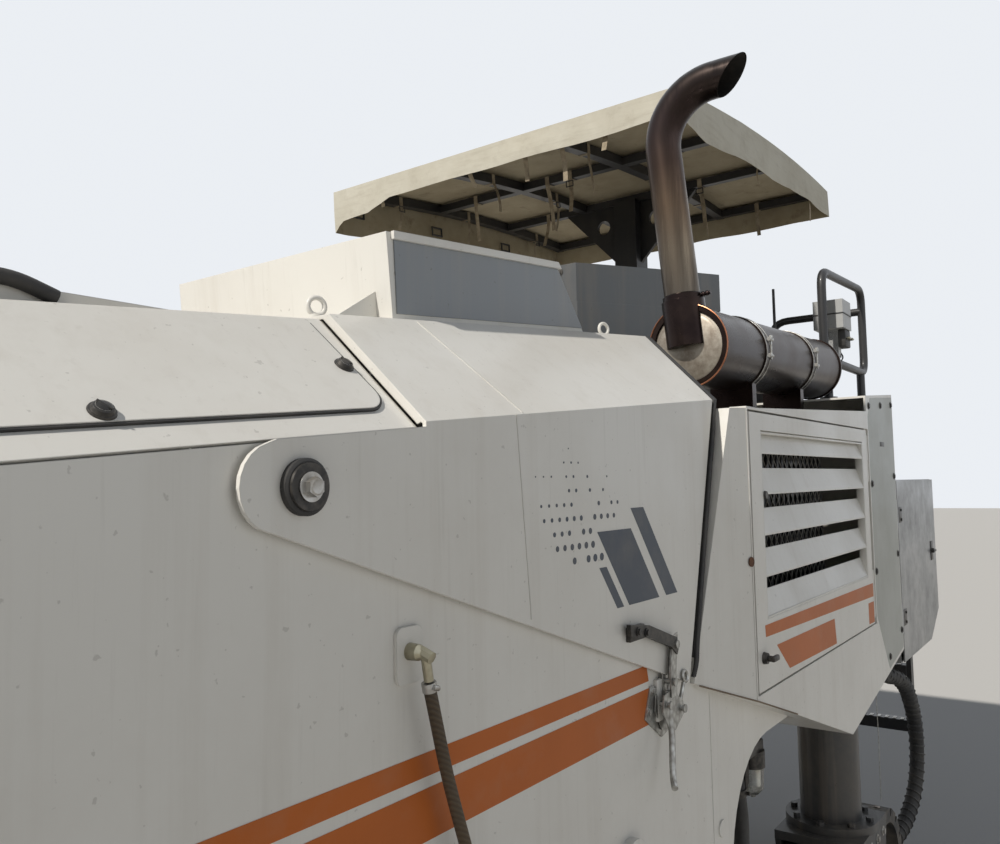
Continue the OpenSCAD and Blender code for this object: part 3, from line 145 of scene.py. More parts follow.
class Nodes:
    """Short way to add and join shader nodes."""

    def __init__(self, material):
        self.t = material.node_tree
        self.shader = self.t.nodes["Principled BSDF"]
        self.place = self.t.nodes.new("ShaderNodeTexCoord").outputs["Object"]

    def add(self, kind, values=(), links=(), **facts):
        n = self.t.nodes.new("ShaderNode" + kind)
        for key, value in facts.items():
            setattr(n, key, value)
        for key, value in values:
            n.inputs[key].default_value = value
        for key, source in links:
            self.t.links.new(source, n.inputs[key])
        return n

    def stretched(self, scale, turn=(0, 0, 0)):
        values = [("Scale", scale), ("Rotation", turn)]
        return self.add("Mapping", values, [("Vector", self.place)]).outputs[0]

    def noise(self, scale, detail=4, rough=0.6, stretch=None):
        where = self.stretched(stretch) if stretch else self.place
        values = [("Scale", scale), ("Detail", detail), ("Roughness", rough)]
        return self.add("TexNoise", values, [("Vector", where)]).outputs["Fac"]

    def cells(self, scale, stretch=(1, 1, 1)):
        where = [("Vector", self.stretched(stretch))]
        return self.add("TexVoronoi", [("Scale", scale)], where).outputs["Distance"]

    def bands(self, scale, turn=(0, 0, 0), axis="X"):
        where = [("Vector", self.stretched((1, 1, 1), turn))]
        values = [("Scale", scale), ("Detail", 2)]
        return self.add("TexWave", values, where, bands_direction=axis).outputs["Fac"]

    def along(self, axis):
        return self.add("SeparateXYZ", links=[("Vector", self.place)]).outputs[axis]

    def ramp(self, source, low, high, dark=(0, 0, 0), bright=(1, 1, 1)):
        n = self.add("ValToRGB", links=[("Fac", source)])
        n.color_ramp.elements[0].position = low
        n.color_ramp.elements[1].position = high
        n.color_ramp.elements[0].color = (*dark, 1)
        n.color_ramp.elements[1].color = (*bright, 1)
        return n.outputs["Color"]

    def tints(self, source, stops):
        """Colours along a value, as (position, colour) pairs."""
        n = self.add("ValToRGB", links=[("Fac", source)])
        points = n.color_ramp.elements
        while len(points) < len(stops):
            points.new(0.5)
        for point, (position, color) in zip(points, stops):
            point.position = position
            point.color = (*color, 1)
        return n.outputs["Color"]

    def plug(self, sockets, values):
        """Links each output, and sets each colour or number, on its socket."""
        for socket, value in zip(sockets, values):
            if hasattr(value, "is_linked"):
                self.t.links.new(value, socket)
            else:
                socket.default_value = (*value, 1) if isinstance(value, tuple) else value

    def mix(self, amount, a, b):
        n = self.add("Mix", data_type="RGBA")
        self.plug((n.inputs[0], n.inputs[6], n.inputs[7]), (amount, a, b))
        return n.outputs[2]

    def maths(self, how, a, b):
        n = self.add("Math", operation=how)
        self.plug(n.inputs, (a, b))
        return n.outputs[0]

    def feed(self, name, source):
        self.t.links.new(source, self.shader.inputs[name])

    def bump(self, height, strength, depth, round_edge=0.0):
        links = [("Height", height)]
        if round_edge:
            edge = self.add("Bevel", [("Radius", round_edge)], samples=4)
            links.append(("Normal", edge.outputs[0]))
        n = self.add("Bump", [("Strength", strength), ("Distance", depth)], links)
        self.feed("Normal", n.outputs[0])


def finish_of(name, metallic=0.0, coat=0.0, rough=None):
    """A new material and its nodes."""
    m = bpy.data.materials.new(name)
    m.use_nodes = True
    n = Nodes(m)
    n.shader.inputs["Metallic"].default_value = metallic
    n.shader.inputs["Coat Weight"].default_value = coat
    n.shader.inputs["Coat Roughness"].default_value = 0.14
    if rough is not None:
        n.shader.inputs["Roughness"].default_value = rough
    return m, n


def paint(name, color, dust, rough=0.34, dirt=0.5, edge=0.0025, coat=0.2, chips=0.5):
    """Sprayed paint with dust in patches, dirty runs, small chips and a fine orange peel."""
    m, n = finish_of(name, coat=coat)
    n.shader.inputs["Specular IOR Level"].default_value = 0.4
    patches = n.ramp(n.noise(1.7, 6, 0.68), 0.42, 0.74)
    runs = n.ramp(n.noise(2.6, 5, 0.62, stretch=(7.0, 7.0, 0.30)), 0.52, 0.76)
    fine_runs = n.ramp(n.noise(9.0, 4, 0.6, stretch=(6.0, 6.0, 0.25)), 0.60, 0.80)
    specks = n.ramp(n.noise(75, 2, 0.5), 0.715, 0.75)
    spots = n.ramp(n.cells(11, stretch=(1, 1, 0.7)), 0.016, 0.026, (1, 1, 1), (0, 0, 0))
    few = n.ramp(n.noise(3.1, 2, 0.5), 0.56, 0.60)
    soiled = color
    marks = (patches, 0.34, 1), (runs, 0.30, 1), (fine_runs, 0.26, 0.6), (specks, 0.5, 0.35)
    for mark, much, tone in marks:
        dark_dust = tuple(tone * c for c in dust)
        soiled = n.mix(n.maths("MULTIPLY", mark, much * dirt), soiled, dark_dust)
    chipped = n.maths("MULTIPLY", n.maths("MULTIPLY", spots, few), chips)
    n.feed("Base Color", n.mix(chipped, soiled, (0.06, 0.035, 0.022)))
    n.feed("Roughness", n.maths("ADD", n.maths("MULTIPLY", patches, 0.24), rough))
    peel = n.maths("ADD", n.noise(420, 3, 0.5), n.maths("MULTIPLY", n.noise(6, 2, 0.5), 1.6))
    n.bump(peel, 0.12, 0.0007, edge)
    return m


def patched(name, one, other, grain, low, high, **facts):
    """A finish of two colours in patches of a given grain."""
    m, n = finish_of(name, **facts)
    n.feed("Base Color", n.mix(n.ramp(n.noise(*grain), low, high), one, other))
    return m, n


def clouded(name, one, other, grain, low, high, metallic, rough, more):
    """A metal of two tones in clouds, rougher where it is dull."""
    m, n = finish_of(name, metallic=metallic)
    cloud = n.ramp(n.noise(*grain), low, high)
    n.feed("Base Color", n.mix(cloud, one, other))
    n.feed("Roughness", n.maths("ADD", n.maths("MULTIPLY", cloud, more), rough))
    return m, n


DUST = (0.40, 0.345, 0.27)
PAINT_UNDER_FILM = (0.66, 0.63, 0.57)
white_paint = paint("white_paint", (0.735, 0.72, 0.675), DUST, chips=0.4)


def wear(node_names, material):
    """Gives nodes of the model their finish."""
    for name in node_names:
        nodes[name].data.materials.clear()
        nodes[name].data.materials.append(material)


wear(["main_frame", "lashing_lugs"], white_paint)


def edges_of(verts):
    """Edges that meet in any of some vertices."""
    return list({e for v in verts for e in v.link_edges})


def box_part(bm, low, high, edge=0.0):
    """Adds a box between two layout corners, with its edges broken."""
    low, high = at(*low), at(*high)
    place = Matrix.Translation((low + high) / 2) @ Matrix.Diagonal((*(high - low), 1))
    made = bmesh.ops.create_cube(bm, size=1, matrix=place)
    if edge:
        bmesh.ops.bevel(
            bm, geom=edges_of(made["verts"]), offset=edge, offset_type="OFFSET", segments=2,
            profile=0.5, affect="EDGES", material=-1,
        )


def rod_part(bm, a, b, r, r_end=None, sides=20):
    """Adds a round bar, cone or hexagon between two places in the frame."""
    run = b - a
    place = Matrix.Translation((a + b) / 2) @ run.to_track_quat("Z", "Y").to_matrix().to_4x4()
    bmesh.ops.create_cone(
        bm, cap_ends=True, cap_tris=False, segments=sides, radius1=r,
        radius2=r if r_end is None else r_end, depth=run.length, matrix=place,
    )


def turned_part(bm, foot, out, steps, sides=20):
    """Adds coaxial steps, each (start, stop, radius, radius at its end), out from a foot."""
    for start, stop, r, r_end in steps:
        rod_part(bm, foot + out * start, foot + out * stop, r, r_end, sides)


def plate_part(bm, outline, thick, place):
    """Adds a flat outline in a drawing plane, thickened along the plane's third axis."""
    face = bm.faces.new([bm.verts.new(place @ Vector((u, v, 0))) for u, v in outline])
    raised = bmesh.ops.extrude_face_region(bm, geom=[face])["geom"]
    lifted = [g for g in raised if isinstance(g, bmesh.types.BMVert)]
    bmesh.ops.translate(bm, vec=place.to_3x3() @ Vector((0, 0, thick)), verts=lifted)


def ring_part(bm, centre, axis, r, wire, steps=28):
    """Adds a closed ring of round bar."""
    turn = Vector(axis).to_track_quat("Z", "Y").to_matrix().to_4x4()
    place = Matrix.Translation(centre) @ turn
    section = place @ Matrix.Translation((r, 0, 0)) @ Matrix.Rotation(math.pi / 2, 4, "X")
    made = bmesh.ops.create_circle(bm, segments=10, radius=wire, matrix=section)
    bmesh.ops.spin(
        bm, geom=edges_of(made["verts"]), cent=centre, axis=place.to_3x3() @ Vector((0, 0, 1)),
        angle=2 * math.pi, steps=steps, use_merge=True,
    )


def bolt_part(bm, place, out, r=0.010, high=0.008, washer=True):
    """Adds a hexagon head, on a washer, standing out from a surface."""
    out = Vector(out).normalized()
    if washer:
        rod_part(bm, place, place + out * 0.0025, r * 1.75)
    rod_part(bm, place, place + out * high, r * 1.15, sides=6)


def on_side(y):
    """Drawing plane across the machine at y: x forward, z up, thickness to the left."""
    return Matrix.Translation(at(0, y, 0)) @ Matrix(((1, 0, 0), (0, 0, 1), (0, 1, 0))).to_4x4()


def to_both_sides(bm):
    """Mirrors a shape to the other side of the machine."""
    everything = bm.verts[:] + bm.edges[:] + bm.faces[:]
    bmesh.ops.mirror(bm, geom=everything, matrix=Matrix.Identity(4), merge_dist=-1, axis="Y")


def piece(name, bm, finish, body, crease=32):
    """Makes a bmesh that is already in place into a piece that rides on a body."""
    bmesh.ops.recalc_face_normals(bm, faces=bm.faces[:])
    mesh = bpy.data.meshes.new(name)
    bm.to_mesh(mesh)
    bm.free()
    mesh.shade_smooth()
    mesh.set_sharp_from_angle(angle=math.radians(crease))
    mesh.materials.append(finish)
    ob = bpy.data.objects.new(name, mesh)
    scene.collection.objects.link(ob)
    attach(ob, body)
    return ob


def film(name, color, under, gone):
    """Stuck film, scuffed through to the paint in small ragged flecks."""
    m, n = finish_of(name, rough=0.42)
    flecks = n.ramp(n.noise(38, 5, 0.7, stretch=(1, 1, 2.4)), gone, gone + 0.02)
    faded = n.mix(n.ramp(n.noise(3, 5, 0.6), 0.35, 0.75), color, tuple(0.82 * c for c in color))
    dusty = n.mix(n.maths("MULTIPLY", n.ramp(n.noise(9, 5, 0.6), 0.5, 0.8), 0.15), faded, DUST)
    n.shader.inputs["Specular IOR Level"].default_value = 0.25
    n.feed("Base Color", n.mix(flecks, dusty, under))
    n.bump(n.noise(300, 3, 0.5), 0.1, 0.0004)
    return m


orange_film = film("orange_film", (0.50, 0.125, 0.016), PAINT_UNDER_FILM, 0.80)
FILM = 0.0006
stripes = bmesh.new()
# upper and lower stripe, from the front round to the lower front corner
for outline in (
    [(1.93, 1.638), (-0.20, 1.627), (-0.209, 1.590), (1.90, 1.602)],
    [(1.88, 1.580), (-0.231, 1.574), (-0.212, 1.493), (1.82, 1.502)],
):
    plate_part(stripes, outline, FILM, on_side(side_y))
to_both_sides(stripes)
piece("frame_stripes", stripes, orange_film, "chassis")

frame_trim = bmesh.new()
box_part(frame_trim, (-0.262, side_y - 0.001, 1.492), (-0.234, side_y + 0.010, 1.588), 0.003)
for x in (-0.56, 0.66):
    box_part(frame_trim, (x, side_y - 0.001, 0.985), (x + 0.004, side_y + 0.0012, 1.52))
for x in (-0.61, 1.0, 1.72):
    rod_part(frame_trim, at(x, side_y - 0.001, 1.13), at(x, side_y + 0.004, 1.13), 0.022)
to_both_sides(frame_trim)
piece("frame_trim", frame_trim, white_paint, "chassis")

zinc, n = clouded("zinc_plate", (0.46, 0.455, 0.44), (0.25, 0.23, 0.20), (30, 4, 0.6),
                  0.35, 0.7, 1.0, 0.32, 0.25)
n.bump(n.noise(300, 3, 0.5), 0.15, 0.0004, 0.0008)
plate_bolts = bmesh.new()
for x in (1.30, 1.45, 1.60):
    for z in (1.17, 1.53):
        bolt_part(plate_bolts, at(x, side_y, z), left, 0.009)
to_both_sides(plate_bolts)
for y in (-0.66, -0.46, 0.16, 0.36):
    bolt_part(plate_bolts, at(2.08, y, 1.97), forward, 0.009)
piece("frame_bolts", plate_bolts, zinc, "chassis")

# Engine block, seen only with the hood up: one cast mass with its rocker covers and belts left
# plain, under dusty grey paint.
grey_paint = paint("grey_paint", (0.095, 0.105, 0.112), (0.26, 0.23, 0.19), 0.42, 0.9, chips=0.3)
black_paint = paint("black_paint", (0.015, 0.0155, 0.017), (0.095, 0.083, 0.070), 0.45, 0.6,
                    chips=0.2)
wear(["engine_block"], grey_paint)

# Front cover: one sheet folded over the nose, in the same paint, with a lid held by three dark
# turn fasteners, a black band along the lid's lower and rear edges that is painted shade of the
# gap round it, a white rubber strip in the gap to the hood, and a raised white plate with a black
# edge strip on top.
wear(["front_cover", "inspection_cover"], white_paint)
shoulder_high, shoulder_fall, slope_rise, slope_run = 2.199, 0.09805, 0.203, 0.225
fall, lean = math.atan(shoulder_fall), math.atan2(slope_rise, slope_run)


def on_slope(y=side_y, up=0.0):
    """Drawing plane of the left slope: u forward, v up the slope, thickness outwards."""
    u = Vector((math.cos(fall), 0, -math.sin(fall)))
    v = Vector((math.sin(lean) * math.sin(fall), -math.cos(lean), math.sin(lean) * math.cos(fall)))
    out = Vector((math.cos(lean) * math.sin(fall), math.sin(lean), math.cos(lean) * math.cos(fall)))
    axes = Matrix((u, v, out)).transposed().to_4x4()
    return Matrix.Translation(at(0, y, shoulder_high + up)) @ axes


def arc(cx, cy, r, start, stop, steps=8):
    """Points of an arc, in degrees."""
    angles = [math.radians(start + (stop - start) * i / steps) for i in range(steps + 1)]
    return [(cx + r * math.cos(a), cy + r * math.sin(a)) for a in angles]


def rubber(name, color, dust, amount=0.5, rough=0.72, grain=160):
    """Rubber or soft plastic with dust in its hollows."""
    m, n = finish_of(name, rough=rough)
    dusty = n.ramp(n.noise(7, 6, 0.7), 0.40, 0.66)
    n.feed("Base Color", n.mix(n.maths("MULTIPLY", dusty, amount), color, dust))
    n.bump(n.noise(grain, 4, 0.6), 0.25, 0.001, 0.002)
    return m


black_rubber = rubber("black_rubber", (0.016, 0.016, 0.017), (0.12, 0.11, 0.095), 0.35)
white_rubber = rubber("white_rubber", (0.62, 0.60, 0.53), (0.33, 0.29, 0.23), 0.7)
# black band along the lid's lower and rear edges: painted shade of the gap round the lid
lid_gap_shade = bmesh.new()
inner = [(2.013, 0.0478)] + arc(0.651, 0.093, 0.0452, 270, 180) + [(0.6058, 0.283)]
outer = [(0.602, 0.283)] + arc(0.651, 0.093, 0.049, 180, 270) + [(2.013, 0.044)]
plate_part(lid_gap_shade, inner + outer, 0.004, on_slope())
piece("lid_gap_shade", lid_gap_shade, black_rubber, "chassis")

steel_dark, n = patched("dark_steel", (0.030, 0.029, 0.028), (0.075, 0.068, 0.060), (60, 4, 0.6),
                        0.4, 0.65, metallic=0.6, rough=0.42)
n.bump(n.noise(300, 3, 0.5), 0.15, 0.0004, 0.0008)
knobs = bmesh.new()
for u, v in ((0.622, 0.158), (1.077, 0.066), (1.560, 0.066)):
    foot = on_slope() @ Vector((u, v, 0.005))
    out, side = on_slope().to_3x3() @ upward, on_slope().to_3x3() @ Vector((0.5, 0.86, 0))
    turned_part(knobs, foot, out, ((0, 0.003, 0.0175, 0.0165), (0.003, 0.008, 0.0145, 0.0125),
                                   (0.008, 0.0112, 0.0125, 0.006)), 28)
    head = foot + out * 0.0108
    rod_part(knobs, head - side * 0.0105, head + side * 0.0105, 0.0016)
piece("lid_fasteners", knobs, steel_dark, "chassis")

gap_strip = bmesh.new()
section = [(1.1785, 1.90), (1.1785, 2.1405), (0.954, 2.3435)]
inside = [(1.170, 1.90), (1.170, 2.137), (0.951, 2.335)]
for half in (section, inside):
    half += [(-y, z) for y, z in reversed(half)]
across = Matrix.Translation(at(0.5764, 0, 0)) @ Matrix(((0, 0, 1), (1, 0, 0), (0, 1, 0))).to_4x4()
plate_part(gap_strip, section + inside[::-1], 0.0072, across)
piece("hood_front_strip", gap_strip, white_rubber, "chassis")


def tube(name, points, r, finish, body, corner=0.0, loop=False, sides=6):
    """A round tube along places in the layout, with its corners rounded, made as a mesh."""
    places = [at(*p) for p in points]
    if corner:
        rounded = []
        for i, p in enumerate(places):
            if not loop and i in (0, len(places) - 1):
                rounded.append(p)
                continue
            before, after = places[i - 1], places[(i + 1) % len(places)]
            cut = min(corner, 0.45 * (before - p).length, 0.45 * (after - p).length)
            a, b = p + (before - p).normalized() * cut, p + (after - p).normalized() * cut
            for k in range(7):
                t = k / 6
                rounded.append(a * (1 - t) ** 2 + p * (2 * t * (1 - t)) + b * t ** 2)
        places = rounded
    line = bpy.data.curves.new(name, "CURVE")
    line.dimensions = "3D"
    line.bevel_depth, line.bevel_resolution, line.use_fill_caps = r, sides, True
    run = line.splines.new("POLY")
    run.points.add(len(places) - 1)
    run.use_cyclic_u = loop
    for point, place in zip(run.points, places):
        point.co = (*place, 1)
    drawn = bpy.data.objects.new(name, line)
    shape = bmesh.new()
    shape.from_mesh(drawn.to_mesh())
    drawn.to_mesh_clear()
    bpy.data.objects.remove(drawn)
    bmesh.ops.remove_doubles(shape, verts=shape.verts[:], dist=0.00005)
    return piece(name, shape, finish, body, crease=50)


def top(x):
    """Height of the front cover's and the hood's top sheet at x."""
    return shoulder_high - shoulder_fall * x + slope_rise


def over_top(*corners):
    """Outline given as pairs of x and height over the top sheet."""
    return [(x, top(x) + up) for x, up in corners]


raised = bmesh.new()
# white plate standing off the top, falling to the rear, with a slit along its outer edge
outline = over_top((1.90, 0.002), (1.90, 0.034), (1.10, 0.030), (0.80, 0.002))
plate_part(raised, outline, 0.9, on_side(0.02))
piece("top_plate", raised, white_paint, "chassis")
strip_run = [(x, 0.928, z) for x, z in over_top((1.90, 0.040), (1.09, 0.037), (1.03, 0.012))]
tube("top_edge_strip", strip_run, 0.011, black_rubber, "chassis", corner=0.03)

# Tilting hood: a folded and welded cover in the same paint, with the joint line of its front
# arm sheet, lifting eyes, a bent bracket, and on each side a film of slanted slate bars and dots.
wear(["hood_shell"], white_paint)
seams = bmesh.new()
on_flank = [(0.3262, 2.176), (0.2930, 1.826), (0.2910, 1.800)]
on_flank += [(0.2888, 1.800), (0.2908, 1.827), (0.3238, 2.176)]
plate_part(seams, on_flank, 0.0012, on_side(hood_y - 0.0002))
over_slope = [(0.302, 0.004), (0.330, 0.296), (0.3276, 0.296), (0.2996, 0.004)]
plate_part(seams, over_slope, 0.0014, on_slope(hood_y, 0.008))
to_both_sides(seams)
piece("hood_seams", seams, white_paint, "hood")

hood_fittings = bmesh.new()
for x, y in ((0.54, 0.90), (-0.55, 0.90), (0.54, -0.90), (-0.55, -0.90)):
    foot = at(x, y, top(x) + 0.008)
    turned_part(hood_fittings, foot, upward, ((0, 0.010, 0.014, 0.014),))
    ring_part(hood_fittings, foot + upward * 0.026, (0.35, 1, 0), 0.0165, 0.0048)
web = over_top((0.35, 0.008), (0.49, 0.008), (0.49, 0.022), (0.395, 0.07151), (0.35, 0.078))
plate_part(hood_fittings, web, 0.004, on_side(0.905))
flange = over_top((0.35, 0.008), (0.354, 0.00839), (0.354, 0.07839), (0.35, 0.078))
plate_part(hood_fittings, flange, 0.06, on_side(0.845))
piece("hood_fittings", hood_fittings, white_paint, "hood")

slate_film = film("slate_film", (0.085, 0.10, 0.125), PAINT_UNDER_FILM, 0.82)
pattern = bmesh.new()
side = on_side(hood_y)

# bars and rows of dots lean forward as they rise; the dots shrink and thin out upwards
film_foot, film_lean = 1.778, 0.80
for x, wide, high in ((-0.245, 0.150, 1.945), (-0.345, 0.062, 1.990), (-0.070, 0.030, 1.870)):
    lead = film_lean * (high - film_foot)
    plate_part(pattern, [(x, film_foot), (x + wide, film_foot), (x + wide + lead, high),
                         (x + lead, high)], FILM, side)
for row in range(9):
    z = 1.893 + row * 0.028
    for column in range(12):
        lead = (z - film_foot) * film_lean
        x = -0.235 + column * 0.0275 + lead + 0.013 * (row % 2)
        r = 0.0088 - 0.0009 * row - 0.0003 * abs(column - 4)
        left_out = noise.noise((column * 3.7, row * 2.9, 0.4)) <= -0.02 - 0.05 * (6 - row)
        over_bar = z <= 1.955 and -0.03 < x - lead + 0.245 < 0.155
        if r > 0.0014 and x < 0.27 and not left_out and not over_bar:
            foot = side @ Vector((x, z, 0))
            rod_part(pattern, foot, foot + Vector((0, FILM, 0)), r, sides=12)
to_both_sides(pattern)
piece("hood_film", pattern, slate_film, "hood")

# Hood pivots: a rubber bush, a zinc washer and a hexagon bolt on each side, dusty and dull.
bushes, washers, heads = bmesh.new(), bmesh.new(), bmesh.new()
pivot = at(0.83, hood_y, 2.05)
turned_part(bushes, pivot, left, ((0.0003, 0.010, 0.039, 0.039), (0.010, 0.0125, 0.039, 0.035)), 48)
turned_part(washers, pivot, left, ((0.0125, 0.0165, 0.033, 0.0322),), 48)
turned_part(heads, pivot, left, ((0.0165, 0.019, 0.0205, 0.0205),), 32)
turned_part(heads, pivot, left, ((0.019, 0.029, 0.0139, 0.0139),), 6)
turned_part(heads, pivot, left, ((0.029, 0.0305, 0.0118, 0.0095),), 24)
rod_part(bushes, at(0.83, side_y - 0.001, 2.05), at(0.83, hood_y + 0.002, 2.05), 0.020)
for shape in (bushes, washers, heads):
    to_both_sides(shape)
bush = piece("pivot_bushes", bushes, black_rubber, "chassis")
piece("pivot_washers", washers, steel_dark, "chassis")
piece("pivot_bolts", heads, zinc, "chassis")
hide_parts("hood_pivots")

# Toggle latches: a zinc base with a hinged link plate, a ring bolt and a long curled handle on
# the frame, and a black hook on the hood, which the ring holds.
galvanised, n = finish_of("galvanised", metallic=1.0)
spangle = n.ramp(n.cells(70), 0.15, 0.75)
n.feed("Base Color", n.mix(spangle, (0.44, 0.44, 0.42), (0.27, 0.26, 0.24)))
n.feed("Roughness", n.maths("ADD", n.maths("MULTIPLY", spangle, 0.2), 0.34))
n.bump(n.noise(200, 3, 0.5), 0.2, 0.0005, 0.001)
latch = bmesh.new()
base_plate = [(-0.211, 1.578), (-0.180, 1.509), (-0.262, 1.452)]
base_plate += [(-0.352, 1.470), (-0.362, 1.500), (-0.285, 1.560)]
cheek = [(-0.228, 1.556), (-0.222, 1.520), (-0.255, 1.470), (-0.285, 1.466)]
cheek += [(-0.338, 1.497), (-0.330, 1.525), (-0.272, 1.562)]
link = [(-0.305, 1.690), (-0.279, 1.684), (-0.258, 1.600)]
link += [(-0.262, 1.545), (-0.292, 1.545), (-0.290, 1.600)]
plate_part(latch, base_plate, 0.004, on_side(side_y))
for y in (0.006, 0.026):
    plate_part(latch, cheek, 0.003, on_side(side_y + y))
    plate_part(latch, link, 0.003, on_side(side_y + y + 0.004))
for x, z in ((-0.245, 1.532), (-0.321, 1.509), (-0.272, 1.580), (-0.290, 1.664)):
    turned_part(latch, at(x, side_y, z), left, ((0.003, 0.038, 0.0062, 0.0062),
                                                (0.036, 0.040, 0.0098, 0.0098)), 16)
ring_part(latch, at(-0.361, side_y + 0.022, 1.575), (0, 1, 0.15), 0.0125, 0.0042)
rod_part(latch, at(-0.352, side_y + 0.022, 1.562), at(-0.325, side_y + 0.022, 1.515), 0.0048)
rod_part(latch, at(-0.290, side_y + 0.022, 1.664), at(-0.272, side_y + 0.022, 1.560), 0.0052)
for x, z in ((-0.198, 1.522), (-0.345, 1.482), (-0.222, 1.566)):
    bolt_part(latch, at(x, side_y + 0.004, z), left, 0.0065, 0.006)
to_both_sides(latch)
latch_plates = piece("latch_plates", latch, galvanised, "chassis")
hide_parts("hood_latch")
handle_run = [(-0.262, 0.020, 1.560), (-0.262, 0.030, 1.470), (-0.238, 0.040, 1.405)]
handle_run += [(-0.222, 0.048, 1.372), (-0.204, 0.060, 1.362)]
for name, side_of in (("latch_handle_left", 1), ("latch_handle_right", -1)):
    points = [(x, side_of * (side_y + y), z) for x, y, z in handle_run]
    tube(name, points, 0.0075, galvanised, "chassis", corner=0.03)
hooks = bmesh.new()
hook = [(-0.060, 1.741), (-0.062, 1.716), (-0.150, 1.700), (-0.262, 1.662), (-0.292, 1.640)]
hook += [(-0.300, 1.652), (-0.294, 1.680), (-0.262, 1.690), (-0.150, 1.728)]
plate_part(hooks, hook, 0.010, on_side(hood_y + 0.010))
box_part(hooks, (-0.145, hood_y - 0.001, 1.700), (-0.075, hood_y + 0.011, 1.732), 0.002)
for x, z in ((-0.095, 1.722), (-0.135, 1.714)):
    bolt_part(hooks, at(x, hood_y + 0.020, z), left, 0.006, 0.006)
to_both_sides(hooks)
piece("latch_hooks", hooks, steel_dark, "hood")

# Seal behind the hood: a black rubber strip with two ribs that bulge past the edge near the
# foot, pushed onto the bulkhead's edge.
wear(["hood_seal"], black_rubber)
# height of the edge's points, and how far they stand to the side
seal_edge = [(1.560, hood_y - 0.001), (1.592, hood_y + 0.0045), (1.640, hood_y + 0.002)]
seal_edge += [(1.930, hood_y), (2.200, hood_y), (2.256, hood_y - 0.010), (2.462, 0.965)]
for number, ahead in enumerate((0.0135, 0.0055)):
    for end, side_of in (("left", 1), ("right", -1)):
        points = [(ahead - 0.430 - (z - 1.540) * 0.293, side_of * y, z) for z, y in seal_edge]
        tube(f"seal_rib_{end}_{number}", points, 0.0048, black_rubber, "chassis",
             0.02)

# Air intake: a sheet box on the hood, white, with dusty grey-blue plates on its white sides that
# are painted shade, under a folded lip.
intake_shade_paint = paint("intake_painted_shade", (0.235, 0.255, 0.275), (0.36, 0.33, 0.29), 0.42, 0.8,
                  chips=0.2)
wear(["intake_box"], white_paint)
low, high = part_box("intake_box")
# grey-blue plates on both sides of the white box: painted shade
intake_shade_plates = bmesh.new()
outline = over_top((0.378, 0.022), (0.386, 0.172), (-0.222, 0.172), (-0.338, 0.022))
for y in (high.y + 0.0004, low.y - 0.0024):
    plate_part(intake_shade_plates, outline, 0.002, on_side(y))
piece("intake_shade_plates", intake_shade_plates, intake_shade_paint, "hood")
lips = bmesh.new()
outline = over_top((0.392, 0.170), (0.392, 0.1865), (-0.218, 0.1865), (-0.232, 0.170))
for y in (high.y + 0.0002, low.y - 0.0092):
    plate_part(lips, outline, 0.009, on_side(y))
piece("intake_lips", lips, white_paint, "hood")

# Radiator housing: bent and welded sheet in the same paint, with a thin dark brown line under
# its front corner that is painted shadow under its lower edge, and behind the louvres the
# radiator's black face under a pale guard of crossed wires.
wear(["radiator_housing", "radiator_door"], white_paint)
wear(["radiator_core"], black_paint)
# thin dark brown tube along the housing's lower edge: painted shadow under that edge
shadow_line_paint = rubber("shadow_line_paint", (0.20, 0.15, 0.10), (0.10, 0.07, 0.05), 0.7, 0.8)
shadow_line_run = [(-0.46, 1.197, 1.531), (-0.74, door_y + 0.0005, 1.4385), (-1.06, door_y + 0.0005, 1.334)]
tube("housing_shadow_line", shadow_line_run, 0.0022, shadow_line_paint, "chassis")
guard = bmesh.new()
guard_front, guard_rear, guard_lean = -0.82, -1.88, 0.58
for turn in (1, -1):
    for step in range(-9, 20):
        foot = Vector((guard_front - 0.055 * step, 1.615))
        run = Vector((-guard_lean, 0.58))
        start = max(0.0, (foot.x - guard_front) / guard_lean)
        stop = min(1.0, (foot.x - guard_rear) / guard_lean)
        if stop - start > 0.05:
            p, q = foot + run * start, foot + run * stop
            if turn < 0:
                p.x, q.x = guard_front + guard_rear - p.x, guard_front + guard_rear - q.x
            y = 1.1235 + 0.0015 * turn
            rod_part(guard, at(p.x, y, p.y), at(q.x, y, q.y), 0.0015, sides=6)
pale_wire, n = patched("pale_wire", (0.42, 0.41, 0.38), (0.20, 0.18, 0.15), (9, 4, 0.6), 0.4, 0.7,
                       metallic=0.6, rough=0.5)
piece("radiator_guard", guard, pale_wire, "chassis")

# Louvred door: the blades' ends are welded to two upright strips, and the two stripes run on
# across the door round a bare number place, with a black handle.
jambs = bmesh.new()
for x in (-0.838, -2.030):
    box_part(jambs, (x, 1.222, 1.652), (x + 0.006, door_y - 0.0005, 2.188), 0.001)
for z in (1.652, 2.180):
    box_part(jambs, (-2.024, 1.238, z), (-0.838, door_y + 0.0002, z + 0.006), 0.001)
piece("door_jambs", jambs, white_paint, "radiator_leaf")
door_stripes = bmesh.new()
for outline in (
    [(-0.806, 1.636), (-2.098, 1.620), (-2.098, 1.567), (-0.810, 1.603)],
    [(-0.900, 1.567), (-1.515, 1.5577), (-1.530, 1.470), (-1.009, 1.481)],
    [(-2.010, 1.549), (-2.098, 1.5475), (-2.098, 1.466), (-2.010, 1.467)],
):
    plate_part(door_stripes, outline, FILM, on_side(door_y))
piece("door_stripes", door_stripes, orange_film, "radiator_leaf")
door_parts = bmesh.new()
turned_part(door_parts, at(-0.786, door_y, 1.549), left, ((0, 0.012, 0.017, 0.015),), 24)
turned_part(door_parts, at(-0.786, door_y, 1.549), left, ((0.012, 0.024, 0.0085, 0.0085),))
box_part(door_parts, (-0.822, 1.272, 1.541), (-0.776, 1.284, 1.557), 0.004)
